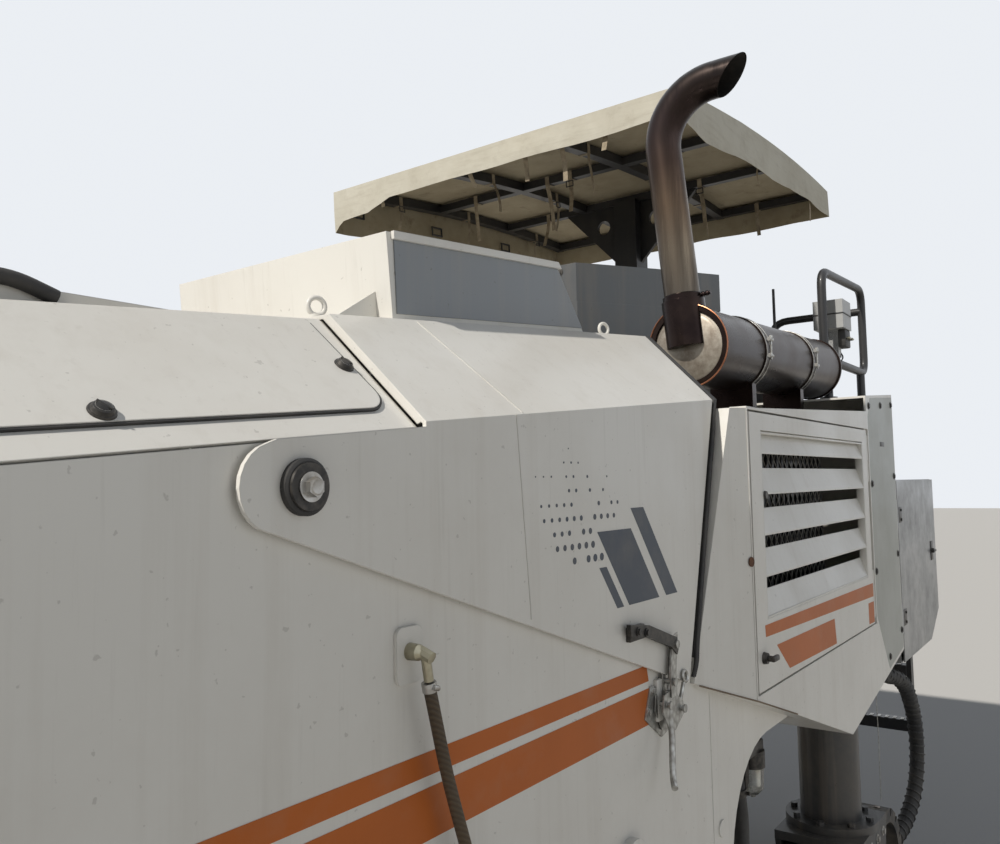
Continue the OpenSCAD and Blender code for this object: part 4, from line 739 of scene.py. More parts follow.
turned_part(door_parts, at(-0.849, door_y, 2.002), left, ((0, 0.006, 0.013, 0.011),), 24)
piece("door_handle", door_parts, steel_dark, "radiator_leaf")
rust, n = patched("rust", (0.16, 0.07, 0.032), (0.05, 0.025, 0.015), (70, 5, 0.7), 0.35, 0.65,
                  rough=0.85)
n.bump(n.noise(200, 4, 0.7), 0.4, 0.001)
hole = bmesh.new()
spot_at = at(-0.721, 1.2478, 1.821)
rod_part(hole, spot_at, spot_at + Vector((0.19, 0.98, 0)) * 0.0024, 0.0135, sides=24)
piece("housing_rust_spot", hole, rust, "chassis")

# Rear panel: grey-green painted aluminium sheet held by black screws.
panel_grey = paint("panel_grey", (0.36, 0.375, 0.345), (0.28, 0.25, 0.20), 0.42, 0.7, chips=0.3)
wear(["rear_panel"], panel_grey)
screws = bmesh.new()
for x, z in ((-2.172, 2.345), (-2.172, 2.02), (-2.172, 1.66), (-2.60, 2.375), (-2.60, 2.05),
             (-2.60, 1.70), (-2.60, 1.36), (-2.345, 1.285), (-2.39, 2.36)):
    bolt_part(screws, at(x, door_y, z), left, 0.0085, 0.006)
box_part(screws, (-2.43, door_y - 0.0005, 2.18), (-2.35, door_y + 0.0008, 2.20), 0.0004)
piece("panel_screws", screws, steel_dark, "chassis")

# Tool box: bare aluminium sheet, brushed and dull, with black hinge leaves and a turn lock.
aluminium, n = clouded("aluminium", (0.34, 0.345, 0.35), (0.22, 0.22, 0.215), (4, 6, 0.7),
                       0.38, 0.70, 1.0, 0.34, 0.22)
n.bump(n.noise(60, 4, 0.5, stretch=(1, 1, 18)), 0.12, 0.0005, 0.0015)
wear(["tool_box", "tool_box_door"], aluminium)
box_fittings = bmesh.new()
for z in (1.36, 1.83):
    box_part(box_fittings, (-2.745, 1.2441, z + 0.004), (-2.668, 1.2475, z + 0.076), 0.001)
    for dz in (0.018, 0.062):
        bolt_part(box_fittings, at(-2.722, 1.2475, z + dz), left, 0.0055, 0.005, False)
box_part(box_fittings, (-3.500, 1.2441, 1.60), (-3.440, 1.2475, 1.70), 0.001)
rod_part(box_fittings, at(-3.47, 1.2475, 1.65), at(-3.47, 1.258, 1.65), 0.013, 0.012, 24)
box_part(box_fittings, (-3.502, 1.257, 1.644), (-3.438, 1.264, 1.656), 0.002)
piece("tool_door_fittings", box_fittings, steel_dark, "tool_box_leaf")

# Muffler: aluminised steel burnt to a glossy dark brown, with a pale pressed end, a copper line
# round the rim, and two thin bands drawn tight by bolts.
burnt, n = finish_of("burnt_steel", metallic=0.92)
mottle = n.ramp(n.noise(3.2, 5, 0.62), 0.34, 0.70)
fine = n.ramp(n.noise(26, 4, 0.6), 0.45, 0.75)
shade = n.mix(mottle, (0.020, 0.013, 0.0125), (0.048, 0.032, 0.025))
n.feed("Base Color", n.mix(n.maths("MULTIPLY", fine, 0.4), shade, (0.012, 0.008, 0.0075)))
n.feed("Roughness", n.maths("ADD", n.maths("MULTIPLY", mottle, 0.16), 0.24))
n.bump(n.noise(120, 3, 0.5), 0.10, 0.0006, 0.002)
wear(["muffler"], burnt)
pipe_run = Vector((-math.cos(math.radians(2.4)), 0, math.sin(math.radians(2.4))))
muffler_front = at(-1.040, 0.945, 2.495)
cap = bmesh.new()
turned_part(cap, muffler_front, pipe_run, ((0.0085, 0.0065, 0.1195, 0.1150),
                                           (0.0065, 0.0035, 0.1080, 0.1010)), 64)
pressed, n = patched("pressed_end", (0.40, 0.36, 0.30), (0.22, 0.18, 0.14), (24, 5, 0.7),
                     0.38, 0.68, metallic=0.75, rough=0.48)
n.bump(n.noise(60, 4, 0.6), 0.2, 0.0008)
piece("muffler_end", cap, pressed, "chassis")
rings = bmesh.new()
ring_part(rings, muffler_front, pipe_run, 0.1385, 0.0026, 56)
ring_part(rings, muffler_front + pipe_run * 0.0135, pipe_run, 0.1375, 0.0022, 56)
copper, n = patched("copper_line", (0.48, 0.20, 0.105), (0.20, 0.09, 0.06), (9, 3, 0.5), 0.4, 0.7,
                    metallic=1.0, rough=0.3)
piece("muffler_rim", rings, copper, "chassis")
bands = bmesh.new()
for along_pipe in (0.382, 0.418, 0.962, 0.998):
    ring_part(bands, muffler_front + pipe_run * along_pipe, pipe_run, 0.1395, 0.0022, 56)
for along_pipe in (0.400, 0.980):
    foot = muffler_front + pipe_run * along_pipe + Vector((0, 0.148, 0.010))
    turned_part(bands, foot, upward, ((-0.045, 0.045, 0.0042, 0.0042),))
    for dz in (-0.030, 0.030):
        lug = foot + Vector((0, -0.002, dz))
        turned_part(bands, lug, forward, ((-0.017, 0.017, 0.0075, 0.0075),))
    turned_part(bands, foot, upward, ((0.034, 0.043, 0.008, 0.008),), 6)
piece("muffler_bands", bands, galvanised, "chassis")

# Stack: stainless tube bent in one sweep and cut at a slant, brushed lengthways, bare and
# streaked at the foot and tinted brown by heat towards its mouth, with soot inside.
heat, n = finish_of("heat_tinted_tube", metallic=1.0)
high_up = n.maths("MULTIPLY", n.maths("SUBTRACT", n.along("Z"), 2.62), 1.22)
sway = n.maths("MULTIPLY", n.maths("SUBTRACT", n.noise(5, 3, 0.6), 0.5), 0.16)
wander = n.maths("ADD", high_up, sway)
tint = n.tints(wander, [
    (0.00, (0.120, 0.104, 0.086)), (0.22, (0.165, 0.132, 0.096)), (0.42, (0.130, 0.090, 0.060)),
    (0.60, (0.064, 0.042, 0.033)), (0.78, (0.048, 0.034, 0.033)), (0.95, (0.028, 0.022, 0.020)),
])
streak = n.ramp(n.noise(34, 5, 0.7, stretch=(1, 1, 0.05)), 0.36, 0.66)
n.feed("Base Color", n.mix(n.maths("MULTIPLY", streak, 0.62), tint, (0.026, 0.020, 0.017)))
n.feed("Roughness", n.maths("ADD", n.maths("MULTIPLY", streak, 0.22), 0.22))
n.bump(n.noise(60, 4, 0.5, stretch=(1, 1, 0.04)), 0.16, 0.0006)
soot, n = patched("soot", (0.006, 0.0055, 0.005), (0.02, 0.017, 0.014), (40, 4, 0.6), 0.4, 0.7,
                  rough=0.95)
stand = (Matrix.Translation(at(-1.070, 0.937, 2.495)) @ Matrix.Rotation(math.radians(2.4), 4, "Y")
         @ Matrix.Rotation(math.radians(4.7), 4, "X") @ Matrix.Translation((0, 0, 0.1583)))


def drawn_out(bm, edges, way, steps):
    """Draws open edges out along a way in even steps, and gives the edges at the end."""
    for _ in range(steps):
        grown = bmesh.ops.extrude_edge_only(bm, edges=edges)["geom"]
        fresh = {g for g in grown if isinstance(g, bmesh.types.BMVert)}
        bmesh.ops.translate(bm, vec=way, verts=list(fresh))
        drawn = [g for g in grown if isinstance(g, bmesh.types.BMEdge)]
        edges = [g for g in drawn if fresh.issuperset(g.verts)]
    return edges


straight, bend_r, bend, slash = 0.519, 0.184, math.radians(96), math.radians(96 + 38)


def stack_pipe(r, start):
    """Draws the tube up, round its bend and out, then cuts its mouth with the upper lip longer."""
    bm = bmesh.new()
    foot = stand @ Matrix.Translation((0, 0, start))
    made = bmesh.ops.create_circle(bm, segments=56, radius=r, matrix=foot)
    turned = stand.to_3x3()
    rise = turned @ Vector((0, 0, (straight - start) / 8))
    edges = drawn_out(bm, edges_of(made["verts"]), rise, 8)
    grown = bmesh.ops.spin(
        bm, geom=edges, cent=stand @ Vector((0, bend_r, straight)),
        axis=turned @ Vector((-1, 0, 0)), angle=bend, steps=26, use_merge=False,
    )["geom_last"]
    way = Vector((0, math.sin(bend), math.cos(bend)))
    drawn_out(bm, [g for g in grown if isinstance(g, bmesh.types.BMEdge)], turned @ way * 0.0375, 4)
    bend_end = Vector((0, bend_r * (1 - math.cos(bend)), straight + bend_r * math.sin(bend)))
    cut_at = stand @ (bend_end + way * 0.065)
    to_stand = stand.inverted()
    mouth = [v for v in bm.verts if (to_stand @ v.co).y > 0.12]
    near_end = mouth + [e for e in bm.edges if all(v in mouth for v in e.verts)]
    near_end += [f for f in bm.faces if all(v in mouth for v in f.verts)]
    normal = turned @ Vector((0, math.sin(slash), math.cos(slash)))
    bmesh.ops.bisect_plane(bm, geom=near_end, plane_co=cut_at, plane_no=normal, clear_outer=True)
    return bm


pipe = stack_pipe(0.060, -0.036)
bmesh.ops.recalc_face_normals(pipe, faces=pipe.faces[:])
stack = piece("stack", pipe, heat, "chassis", crease=60)
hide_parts("exhaust_pipe")
piece("stack_inside", stack_pipe(0.0575, -0.030), soot, "chassis", crease=60)
clamp = bmesh.new()
up_stack, side_on = stand.to_3x3() @ upward, stand.to_3x3() @ left
clamp_foot = stand.to_translation()
turned_part(clamp, clamp_foot, up_stack,
            ((0, 0.016, 0.0665, 0.0665), (0.016, 0.020, 0.0665, 0.0610)), 56)
for d in (0.074, 0.088):
    turned_part(clamp, clamp_foot + side_on * d, up_stack, ((0.001, 0.016, 0.0055, 0.0055),))
turned_part(clamp, clamp_foot + up_stack * 0.008, side_on, ((0.066, 0.100, 0.006, 0.006),))
piece("stack_clamp", clamp, burnt, "chassis")

# Hoses in the arch: three black hoses with clamps come down from a block under the housing and
# go forward to a manifold inside the side plate; a clear filter bowl hangs on a bracket there.
arch_hoses = [
    [(-1.19, 0.98, 1.235), (-1.18, 1.00, 1.10), (-1.20, 1.01, 0.92), (-1.10, 1.04, 0.80)],
    [(-1.22, 0.93, 1.225), (-1.26, 0.96, 1.10), (-1.29, 0.97, 0.90), (-1.18, 0.99, 0.745)],
    [(-1.27, 0.89, 1.215), (-1.34, 0.92, 1.06), (-1.36, 0.93, 0.86), (-1.22, 0.95, 0.685)],
]
manifold_ends = [(-0.66, 1.08, 0.76), (-0.66, 1.02, 0.70), (-0.66, 0.96, 0.65)]
for number, (points, end) in enumerate(zip(arch_hoses, manifold_ends)):
    points.append(end)
    tube(f"arch_hose_{number}", points, 0.024, black_rubber, "chassis", 0.07)
arch_steel = bmesh.new()
for points in arch_hoses:
    for index, t in ((1, 0.45), (3, 0.55)):
        a, b = at(*points[index]), at(*points[index + 1])
        spot = a.lerp(b, t)
        turned_part(arch_steel, spot, (b - a).normalized(), ((-0.011, 0.011, 0.0285, 0.0285),), 28)
        turned_part(arch_steel, spot, left, ((0.026, 0.040, 0.006, 0.006),), 6)
box_part(arch_steel, (-1.46, 0.93, 1.085), (-1.20, 1.00, 1.125), 0.004)
box_part(arch_steel, (-1.30, 0.86, 1.13), (-1.17, 1.02, 1.275), 0.006)
box_part(arch_steel, (-0.69, 0.91, 0.61), (-0.60, side_y - 0.006, 0.80), 0.006)
rod_part(arch_steel, at(-1.43, 0.965, 1.03), at(-1.43, 0.965, 1.088), 0.046, sides=40)
for x, y in ((-1.28, 1.00), (-1.24, 1.01), (-1.20, 1.00)):
    rod_part(arch_steel, at(x, y, 1.02), at(x, y, 1.14), 0.009, 0.011, 6)
piece("arch_fittings", arch_steel, steel_dark, "chassis")
bowl = bmesh.new()
bowl_foot = at(-1.43, 0.965, 0)
turned_part(bowl, bowl_foot, upward, ((0.955, 1.031, 0.038, 0.041), (0.935, 0.955, 0.020, 0.038)),
            40)
turned_part(bowl, bowl_foot, upward, ((0.925, 0.935, 0.010, 0.010),), 16)
bowl_plastic, n = patched("bowl_plastic", (0.62, 0.64, 0.62), (0.38, 0.36, 0.30), (30, 4, 0.6),
                          0.4, 0.7, coat=0.6, rough=0.16)
n.shader.inputs["Transmission Weight"].default_value = 0.85
n.shader.inputs["IOR"].default_value = 1.45
piece("filter_bowl", bowl, bowl_plastic, "chassis")

# Right-hand tank: welded sheet in the same paint, with two black filler caps and a step of
# tread strip on its top.
wear(["right_tank"], white_paint)


def tank_top(x):
    """Height of the tank's top at x."""
    return 2.245 + 0.155 * (x + 0.04 + 0.645) / -2.355


caps = bmesh.new()
for x in (-1.25, -1.95):
    foot = at(x, -1.02, tank_top(x) - 0.004)
    turned_part(caps, foot, upward, ((0, 0.020, 0.062, 0.062),), 40)
    turned_part(caps, foot, upward, ((0.020, 0.046, 0.054, 0.050), (0.046, 0.052, 0.050, 0.030)),
                12)
dark_plastic = rubber("dark_plastic", (0.018, 0.018, 0.019), (0.14, 0.125, 0.10), 0.4, 0.55, 300)
piece("tank_caps", caps, dark_plastic, "chassis")

# Platform: steel plate with a raised tread of crossed bars, black paint worn and dusty.
tread, n = finish_of("tread_plate", rough=0.55)
rising, falling = (0, 0, 0.785), (0, 0, -0.785)
one = n.ramp(n.bands(9, turn=rising), 0.72, 0.86)
two = n.ramp(n.bands(9, turn=falling), 0.72, 0.86)
field_one = n.ramp(n.bands(4.5, turn=falling), 0.45, 0.55)
field_two = n.ramp(n.bands(4.5, turn=rising), 0.55, 0.45, (1, 1, 1), (0, 0, 0))
bars = n.maths("MAXIMUM", n.maths("MULTIPLY", one, field_one), n.maths("MULTIPLY", two, field_two))
dusty = n.ramp(n.noise(3, 6, 0.7), 0.35, 0.7)
shade = n.mix(n.maths("MULTIPLY", dusty, 0.75), (0.035, 0.036, 0.037), (0.20, 0.175, 0.14))
n.feed("Base Color", n.mix(n.maths("MULTIPLY", bars, 0.45), shade, (0.24, 0.235, 0.22)))
n.bump(bars, 0.8, 0.003)
wear(["platform"], tread)

# Control console: folded sheet in dark grey paint with a row of dark bolts on its upper
# panel, and on the desk three levers, two round dials and a row of buttons.
console_grey = paint("console_grey", (0.072, 0.079, 0.085), (0.19, 0.165, 0.135), 0.40, 0.8,
                     chips=0.3)
wear(["console"], console_grey)
console_parts = bmesh.new()
for y in [-0.64 + 0.155 * i for i in range(7)]:
    for z in (2.805, 2.902):
        bolt_part(console_parts, at(-1.301, y, z), forward, 0.0095, 0.006)
for y in (-0.52, -0.36, 0.16):
    foot = at(-1.86, y, 2.728)
    turned_part(console_parts, foot, upward, ((0, 0.03, 0.030, 0.014),), 24)
    rod_part(console_parts, foot + upward * 0.03, foot + Vector((-0.012, 0, 0.13)), 0.0055)
    bmesh.ops.create_icosphere(console_parts, subdivisions=3, radius=0.019,
                               matrix=Matrix.Translation(foot + Vector((-0.014, 0, 0.142))))
for y in (-0.15, 0.02):
    foot = at(-1.63, y, 2.769)
    turned_part(console_parts, foot, upward, ((0, 0.012, 0.042, 0.040),), 36)
piece("console_controls", console_parts, dark_plastic, "chassis")
buttons = bmesh.new()
for i in range(8):
    foot = at(-1.56, -0.62 + 0.045 * i, 2.769)
    turned_part(buttons, foot, upward, ((0, 0.010, 0.012, 0.011),))
piece("console_buttons", buttons, galvanised, "chassis")

# Seats: two black vinyl seats with crowned cushions sewn in panels, on a painted pedestal, a
# floor flange and a thin tray.
vinyl, n = patched("vinyl", (0.018, 0.018, 0.019), (0.075, 0.068, 0.058), (6, 5, 0.65), 0.45, 0.75,
                   rough=0.48, coat=0.12)
creases = n.ramp(n.cells(55), 0.0, 0.35)
n.bump(n.maths("ADD", creases, n.maths("MULTIPLY", n.noise(12, 4, 0.6), 3.0)), 0.22, 0.0012)


def cushion(name, middle, size, up_axis, crown):
    """A cushion grown from a rounded box: its face is crowned and drawn in along two seams."""
    bm = bmesh.new()
    bmesh.ops.create_cube(bm, size=1, matrix=Matrix.Diagonal((*size, 1)))
    bmesh.ops.bevel(bm, geom=bm.edges[:], offset=min(size) * 0.32, offset_type="OFFSET", segments=5,
                    profile=0.5, affect="EDGES", material=-1)
    bmesh.ops.subdivide_edges(bm, edges=[e for e in bm.edges if e.calc_length() > 0.06], cuts=14,
                              use_grid_fill=True)
    wide, deep = (1, 0) if up_axis == 2 else (1, 2)
    for v in bm.verts:
        s, t = v.co[wide] / size[wide] * 2, v.co[deep] / size[deep] * 2
        face = max(0.0, 1 - s ** 4) * max(0.0, 1 - t ** 4)
        seam = math.exp(-((abs(v.co[wide]) - size[wide] * 0.27) / 0.009) ** 2)
        seam += math.exp(-((t - 0.15) / 0.045) ** 2) * (abs(v.co[wide]) < size[wide] * 0.27)
        if v.co[up_axis] > 0:
            v.co[up_axis] += crown * face - 0.009 * min(seam, 1) * min(1.0, face * 3)
    bmesh.ops.translate(bm, vec=middle, verts=bm.verts[:])
    made = piece(name, bm, vinyl, "chassis", crease=70)
    return made


seat_frames = bmesh.new()
for number, y in enumerate((-0.56, 0.35)):
    made = cushion(f"seat_cushion_{number}", at(-2.775, y, 2.125), (0.42, 0.42, 0.085), 2, 0.016)
    if number == 0:
        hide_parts("seats")
    cushion(f"seat_back_{number}", at(-3.022, y, 2.375), (0.060, 0.41, 0.47), 0, 0.014)
    turned_part(seat_frames, at(-2.78, y, 0), upward, ((1.616, 2.050, 0.045, 0.045),), 32)
    turned_part(seat_frames, at(-2.78, y, 0), upward, ((1.6005, 1.616, 0.13, 0.13),), 40)
    box_part(seat_frames, (-2.97, y - 0.19, 2.050), (-2.60, y + 0.19, 2.080), 0.006)
    box_part(seat_frames, (-3.055, y - 0.03, 2.055), (-2.96, y + 0.03, 2.075), 0.003)
    box_part(seat_frames, (-3.058, y - 0.03, 2.060), (-3.048, y + 0.03, 2.45), 0.002)
    for dx, dy in arc(0, 0, 0.105, 0, 300, 5):
        bolt_part(seat_frames, at(-2.78 + dx, y + dy, 1.616), upward, 0.008)
piece("seat_frames", seat_frames, black_paint, "chassis")

# Handrails: black-painted steel tube bent in round corners, with welded feet.
RAIL = 0.021
loop = [(-2.560, 0.98, 2.615), (-2.560, 0.98, 3.040), (-3.340, 0.98, 3.080), (-3.340, 0.98, 2.615)]
rails = tube("handrail_loop", loop, RAIL, black_paint, "chassis", 0.085, True)
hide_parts("handrails")
for name, corner, points in (
    ("post_front", 0, ((-2.600, 0.98, 2.615), (-2.600, 0.98, 2.426))),
    ("post_rear", 0, ((-3.250, 0.98, 2.615), (-3.250, 0.98, 2.032))),
    ("rear", 0.10, ((-3.340, 0.98, 2.96), (-3.340, 0.48, 2.96), (-3.340, 0.48, 1.601))),
    ("right", 0.08, ((-2.70, -1.0, tank_top(-2.70)), (-2.70, -1.0, 2.80), (-2.30, -1.0, 2.80),
                     (-2.30, -1.0, tank_top(-2.30)))),
):
    tube(f"handrail_{name}", points, RAIL, black_paint, "chassis", corner)
feet = bmesh.new()
for x, y, z in ((-2.600, 0.98, 2.426), (-3.250, 0.98, 2.032), (-3.340, 0.48, 1.601),
                (-2.70, -1.0, tank_top(-2.70) + 0.002), (-2.30, -1.0, tank_top(-2.30) + 0.002)):
    rod_part(feet, at(x, y, z), at(x, y, z + 0.006), 0.040, sides=32)
piece("handrail_feet", feet, black_paint, "chassis")

# Ladder: black-painted side plates and treads with a gripping edge strip.
wear(["ladder"], black_paint)
grips = bmesh.new()
for z in (0.64, 0.94, 1.24):
    for i in range(14):
        y = 0.490 + 0.0405 * i
        box_part(grips, (-3.652, y, z + 0.0598), (-3.607, y + 0.018, z + 0.0635), 0.0012)
piece("ladder_grips", grips, galvanised, "chassis")

# Canopy: a black-painted bar frame on a lifting post, under a coated tarpaulin that is pale and
# weathered outside and stained beige inside. Straps sewn to it go round the bars and hang down.
wear(["canopy_post", "canopy_frame"], black_paint)
shade_at = Matrix.Translation(at(-2.465, -0.170, 3.627))
shade_at = shade_at @ Matrix.Rotation(math.radians(4.6), 4, "Y")


def crown(x):
    """Rise of the canopy's arch at x."""
    return 0.055 * (1 - (2 * (x + 1.085) / 2.17 - 1) ** 2)


canvas, n = finish_of("canvas", rough=0.78)
grime = n.ramp(n.noise(2.6, 6, 0.7), 0.38, 0.74)
spots = n.ramp(n.noise(11, 5, 0.7), 0.55, 0.80)
lines = n.ramp(n.noise(6, 4, 0.6, stretch=(1, 1, 9)), 0.52, 0.75)
color = n.mix(n.maths("MULTIPLY", grime, 0.50), (0.60, 0.575, 0.49), (0.36, 0.32, 0.235))
color = n.mix(n.maths("MULTIPLY", spots, 0.35), color, (0.26, 0.22, 0.155))
n.feed("Base Color", n.mix(n.maths("MULTIPLY", lines, 0.30), color, (0.33, 0.29, 0.22)))
weave = n.maths("ADD", n.bands(260), n.bands(260, axis="Y"))
crumple = n.maths("MULTIPLY", n.noise(14, 5, 0.7), 3)
n.bump(n.maths("ADD", n.maths("MULTIPLY", weave, 0.25), crumple), 0.30, 0.0016)
lining, n = finish_of("canvas_inside", rough=0.85)
grime = n.ramp(n.noise(2.0, 6, 0.7), 0.35, 0.70)
color = n.mix(grime, (0.46, 0.395, 0.27), (0.30, 0.245, 0.155))
n.feed("Base Color", n.mix(n.ramp(n.noise(10, 5, 0.7), 0.58, 0.82), color, (0.17, 0.13, 0.085)))
n.bump(n.noise(14, 5, 0.7), 0.3, 0.004)

tarp = bmesh.new()
half_long, half_wide, skirt, skirt_rows = 1.083, 0.948, 0.1386, 7
bmesh.ops.create_grid(tarp, x_segments=74, y_segments=64, size=0.5,
                      matrix=Matrix.Diagonal((2 * half_long, 2 * half_wide, 1, 1)))
rim = [e for e in tarp.edges if e.is_boundary]
drawn_out(tarp, rim, Vector((0, 0, -skirt / skirt_rows)), skirt_rows)
for v in tarp.verts:
    x, y, drop = v.co.x, v.co.y, -v.co.z
    edge = min(half_long - abs(x), half_wide - abs(y))
    folds = noise.noise((x * 2.3, y * 2.3, 3.1)) + 0.5 * noise.noise((x * 7, y * 7, 1.7))
    if drop < 0.001:
        between = math.sin(math.pi * min(1, max(0, (abs(y) - 0.30) / 0.59)))
        between *= math.cos(math.pi * x / 1.4) ** 2
        round_off = 0.010 * math.exp(-(edge / 0.022) ** 2)
        v.co.z = 0.0340 + crown(x) + 0.0045 * folds - 0.0020 * between - round_off
        v.co.z = max(v.co.z, 0.0290 + crown(x) - round_off * 0.4)
        continue
    deep = drop / skirt
    longer = 1.0 + 0.42 * max(0, -y - 0.90) / 0.048 * (0.72 + 0.5 * noise.noise((x * 1.6, 0, 5)))
    lift = 0.012 * (1 - deep) + 0.017 * noise.noise((x * 2.6, y * 2.6, 8.8)) * deep
    wave = noise.noise((x * 5.0, y * 5.0, 2.2 + drop))
    wave += 0.55 * noise.noise((x * 14, y * 14, 6 * drop))
    out = (0.0075 * wave - 0.004) * min(1.0, deep * 1.6)
    if abs(abs(x) - half_long) < 0.002:
        v.co.x += math.copysign(out, x)
    if abs(abs(y) - half_wide) < 0.002:
        v.co.y += math.copysign(out, y)
    v.co.z = 0.0220 + crown(x) * (1 - 0.55 * deep) - drop * longer + lift - 0.012
    # the front skirt is hemmed shorter ahead of the console, which it clears when lowered
    hemmed = min(1.0, max(0.0, (y + 0.71) / 0.15)) * min(1.0, max(0.0, (x - 0.80) / 0.26))
    v.co.z = 0.010 + (v.co.z - 0.010) * (1 - 0.34 * hemmed)
bmesh.ops.recalc_face_normals(tarp, faces=tarp.faces[:])
bmesh.ops.solidify(tarp, geom=tarp.faces[:], thickness=0.0016)
tarp.normal_update()
middle = Vector((0, 0, -0.6))
for face in tarp.faces:
    face.material_index = 1 if face.normal.dot(middle - face.calc_center_median()) > 0 else 0
bmesh.ops.transform(tarp, matrix=shade_at, verts=tarp.verts[:])
sheet_mesh = bpy.data.meshes.new("canopy_sheet")
tarp.to_mesh(sheet_mesh)
tarp.free()
sheet_mesh.shade_smooth()
sheet_mesh.set_sharp_from_angle(angle=math.radians(55))
sheet_mesh.materials.append(canvas)
sheet_mesh.materials.append(lining)
canopy_sheet = bpy.data.objects.new("canopy_sheet", sheet_mesh)
scene.collection.objects.link(canopy_sheet)
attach(canopy_sheet, "canopy")
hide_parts("canopy_cover")
webbing, n = patched("webbing", (0.40, 0.335, 0.235), (0.17, 0.135, 0.09), (18, 5, 0.7), 0.35, 0.7,
                     rough=0.85)
n.bump(n.bands(300, axis="Z"), 0.3, 0.0006)
straps, buckles = bmesh.new(), bmesh.new()
BAND = 0.0016
# each strap: place along and across, 1 where its bar runs along the machine, tail length, lean
strap_places = (
    (1.025, -0.62, 0, 0.10, 6), (1.025, -0.10, 0, 0.11, -9), (1.025, 0.22, 0, 0.15, 4),
    (1.025, 0.40, 0, 0.19, -5), (1.025, 0.62, 0, 0.13, 9), (0.66, 0.30, 1, 0.20, -4),
    (0.60, -0.30, 1, 0.16, 5), (0.66, -0.89, 1, 0.13, -8), (0.30, -0.60, 0, 0.21, 3),
    (0.30, -0.12, 0, 0.24, -3), (0.30, 0.02, 0, 0.18, 7), (0.30, 0.62, 0, 0.20, -6),
    (-0.05, 0.30, 1, 0.24, 4), (-0.02, -0.30, 1, 0.17, -6), (0.05, -0.89, 1, 0.20, 5),
    (0.00, 0.89, 1, 0.17, 3), (-0.385, 0.45, 0, 0.22, -5), (-0.385, -0.55, 0, 0.16, 8),
    (-0.70, 0.30, 1, 0.20, -3), (-0.72, 0.89, 1, 0.22, 4), (-1.025, 0.55, 0, 0.15, -7),
    (-1.025, -0.10, 0, 0.12, 5), (-0.70, -0.89, 1, 0.14, -5), (0.62, 0.89, 1, 0.12, 6),
)
for number, (x, y, runs_along, tail, swing) in enumerate(strap_places):
    high, deep_bar = (crown(x) + 0.0275, 0.049) if runs_along else (crown(x) + 0.0215, 0.044)
    quarter = Matrix.Rotation(math.pi / 2 if runs_along else 0, 4, "Z")
    turn = shade_at @ Matrix.Translation((x, y, high)) @ quarter
    for place, size in (
        ((-0.0262, 0, -deep_bar / 2), (BAND, 0.025, deep_bar, 1)),
        ((0.0262, 0, -deep_bar / 2), (BAND, 0.025, deep_bar, 1)),
        ((0, 0, -deep_bar - 0.0009), (0.054, 0.025, BAND, 1)),
    ):
        spot = turn @ Matrix.Translation(place) @ Matrix.Diagonal(size)
        bmesh.ops.create_cube(straps, size=1, matrix=spot)
    strip = bmesh.ops.create_grid(straps, x_segments=1, y_segments=9, size=0.5)["verts"]
    for v in strip:
        t = 0.5 - v.co.y
        bend = 0.018 * math.sin(2.6 * t + number) - 0.018 * math.sin(number)
        out = 0.024 + bend + tail * t * math.sin(math.radians(swing))
        aside = v.co.x * 0.025 * (1 - 0.10 * t) + 0.012 * t * math.sin(number * 2.1)
        v.co = Vector((out, aside, -0.040 - tail * t))
    faces = list({f for v in strip for f in v.link_faces})
    thick = bmesh.ops.solidify(straps, geom=faces, thickness=BAND)["geom"]
    moved = set(strip) | {g for g in thick if isinstance(g, bmesh.types.BMVert)}
    bmesh.ops.transform(straps, matrix=turn, verts=list(moved))
    if number % 3 == 1:
        buckle = turn @ Matrix.Translation((0.031, 0, -0.069))
        for dz in (0.014, -0.014):
            rod_part(buckles, buckle @ Vector((0, -0.020, dz)), buckle @ Vector((0, 0.020, dz)),
                     0.0028)
        for dy in (-0.020, 0.020):
            rod_part(buckles, buckle @ Vector((0, dy, 0.016)), buckle @ Vector((0, dy, -0.016)),
                     0.0028)
piece("canopy_straps", straps, webbing, "canopy")
# rectangular eyes on the inside of the far skirt
for x in (0.93, 0.28, -0.42):
    eye_at = shade_at @ Matrix.Translation((x, -0.934, -0.062))
    for dz in (-0.022, 0.022):
        rod_part(buckles, eye_at @ Vector((-0.045, 0, dz)), eye_at @ Vector((0.045, 0, dz)), 0.0055)
    for dx in (-0.042, 0.042):
        rod_part(buckles, eye_at @ Vector((dx, 0, -0.024)), eye_at @ Vector((dx, 0, 0.024)), 0.0055)
piece("canopy_buckles", buckles, dark_plastic, "canopy")
post_bolts = bmesh.new()
for x in (-2.98, -2.72):
    for y in (-0.30, -0.04):
        bolt_part(post_bolts, at(x, y, 1.6163), upward, 0.011, 0.011)
piece("canopy_post_bolts", post_bolts, zinc, "chassis")

# Drum housing, scraper and side plates: heavy plate, the housing white and scoured along its
# foot, the scraper and guide shoes dark grey, darker still as painted shade, the side plates
# orange with bolted wear strips.
low_white = paint("low_white_paint", (0.66, 0.645, 0.60), (0.27, 0.23, 0.18), 0.45, 1.5)
wear(["drum_housing"], low_white)
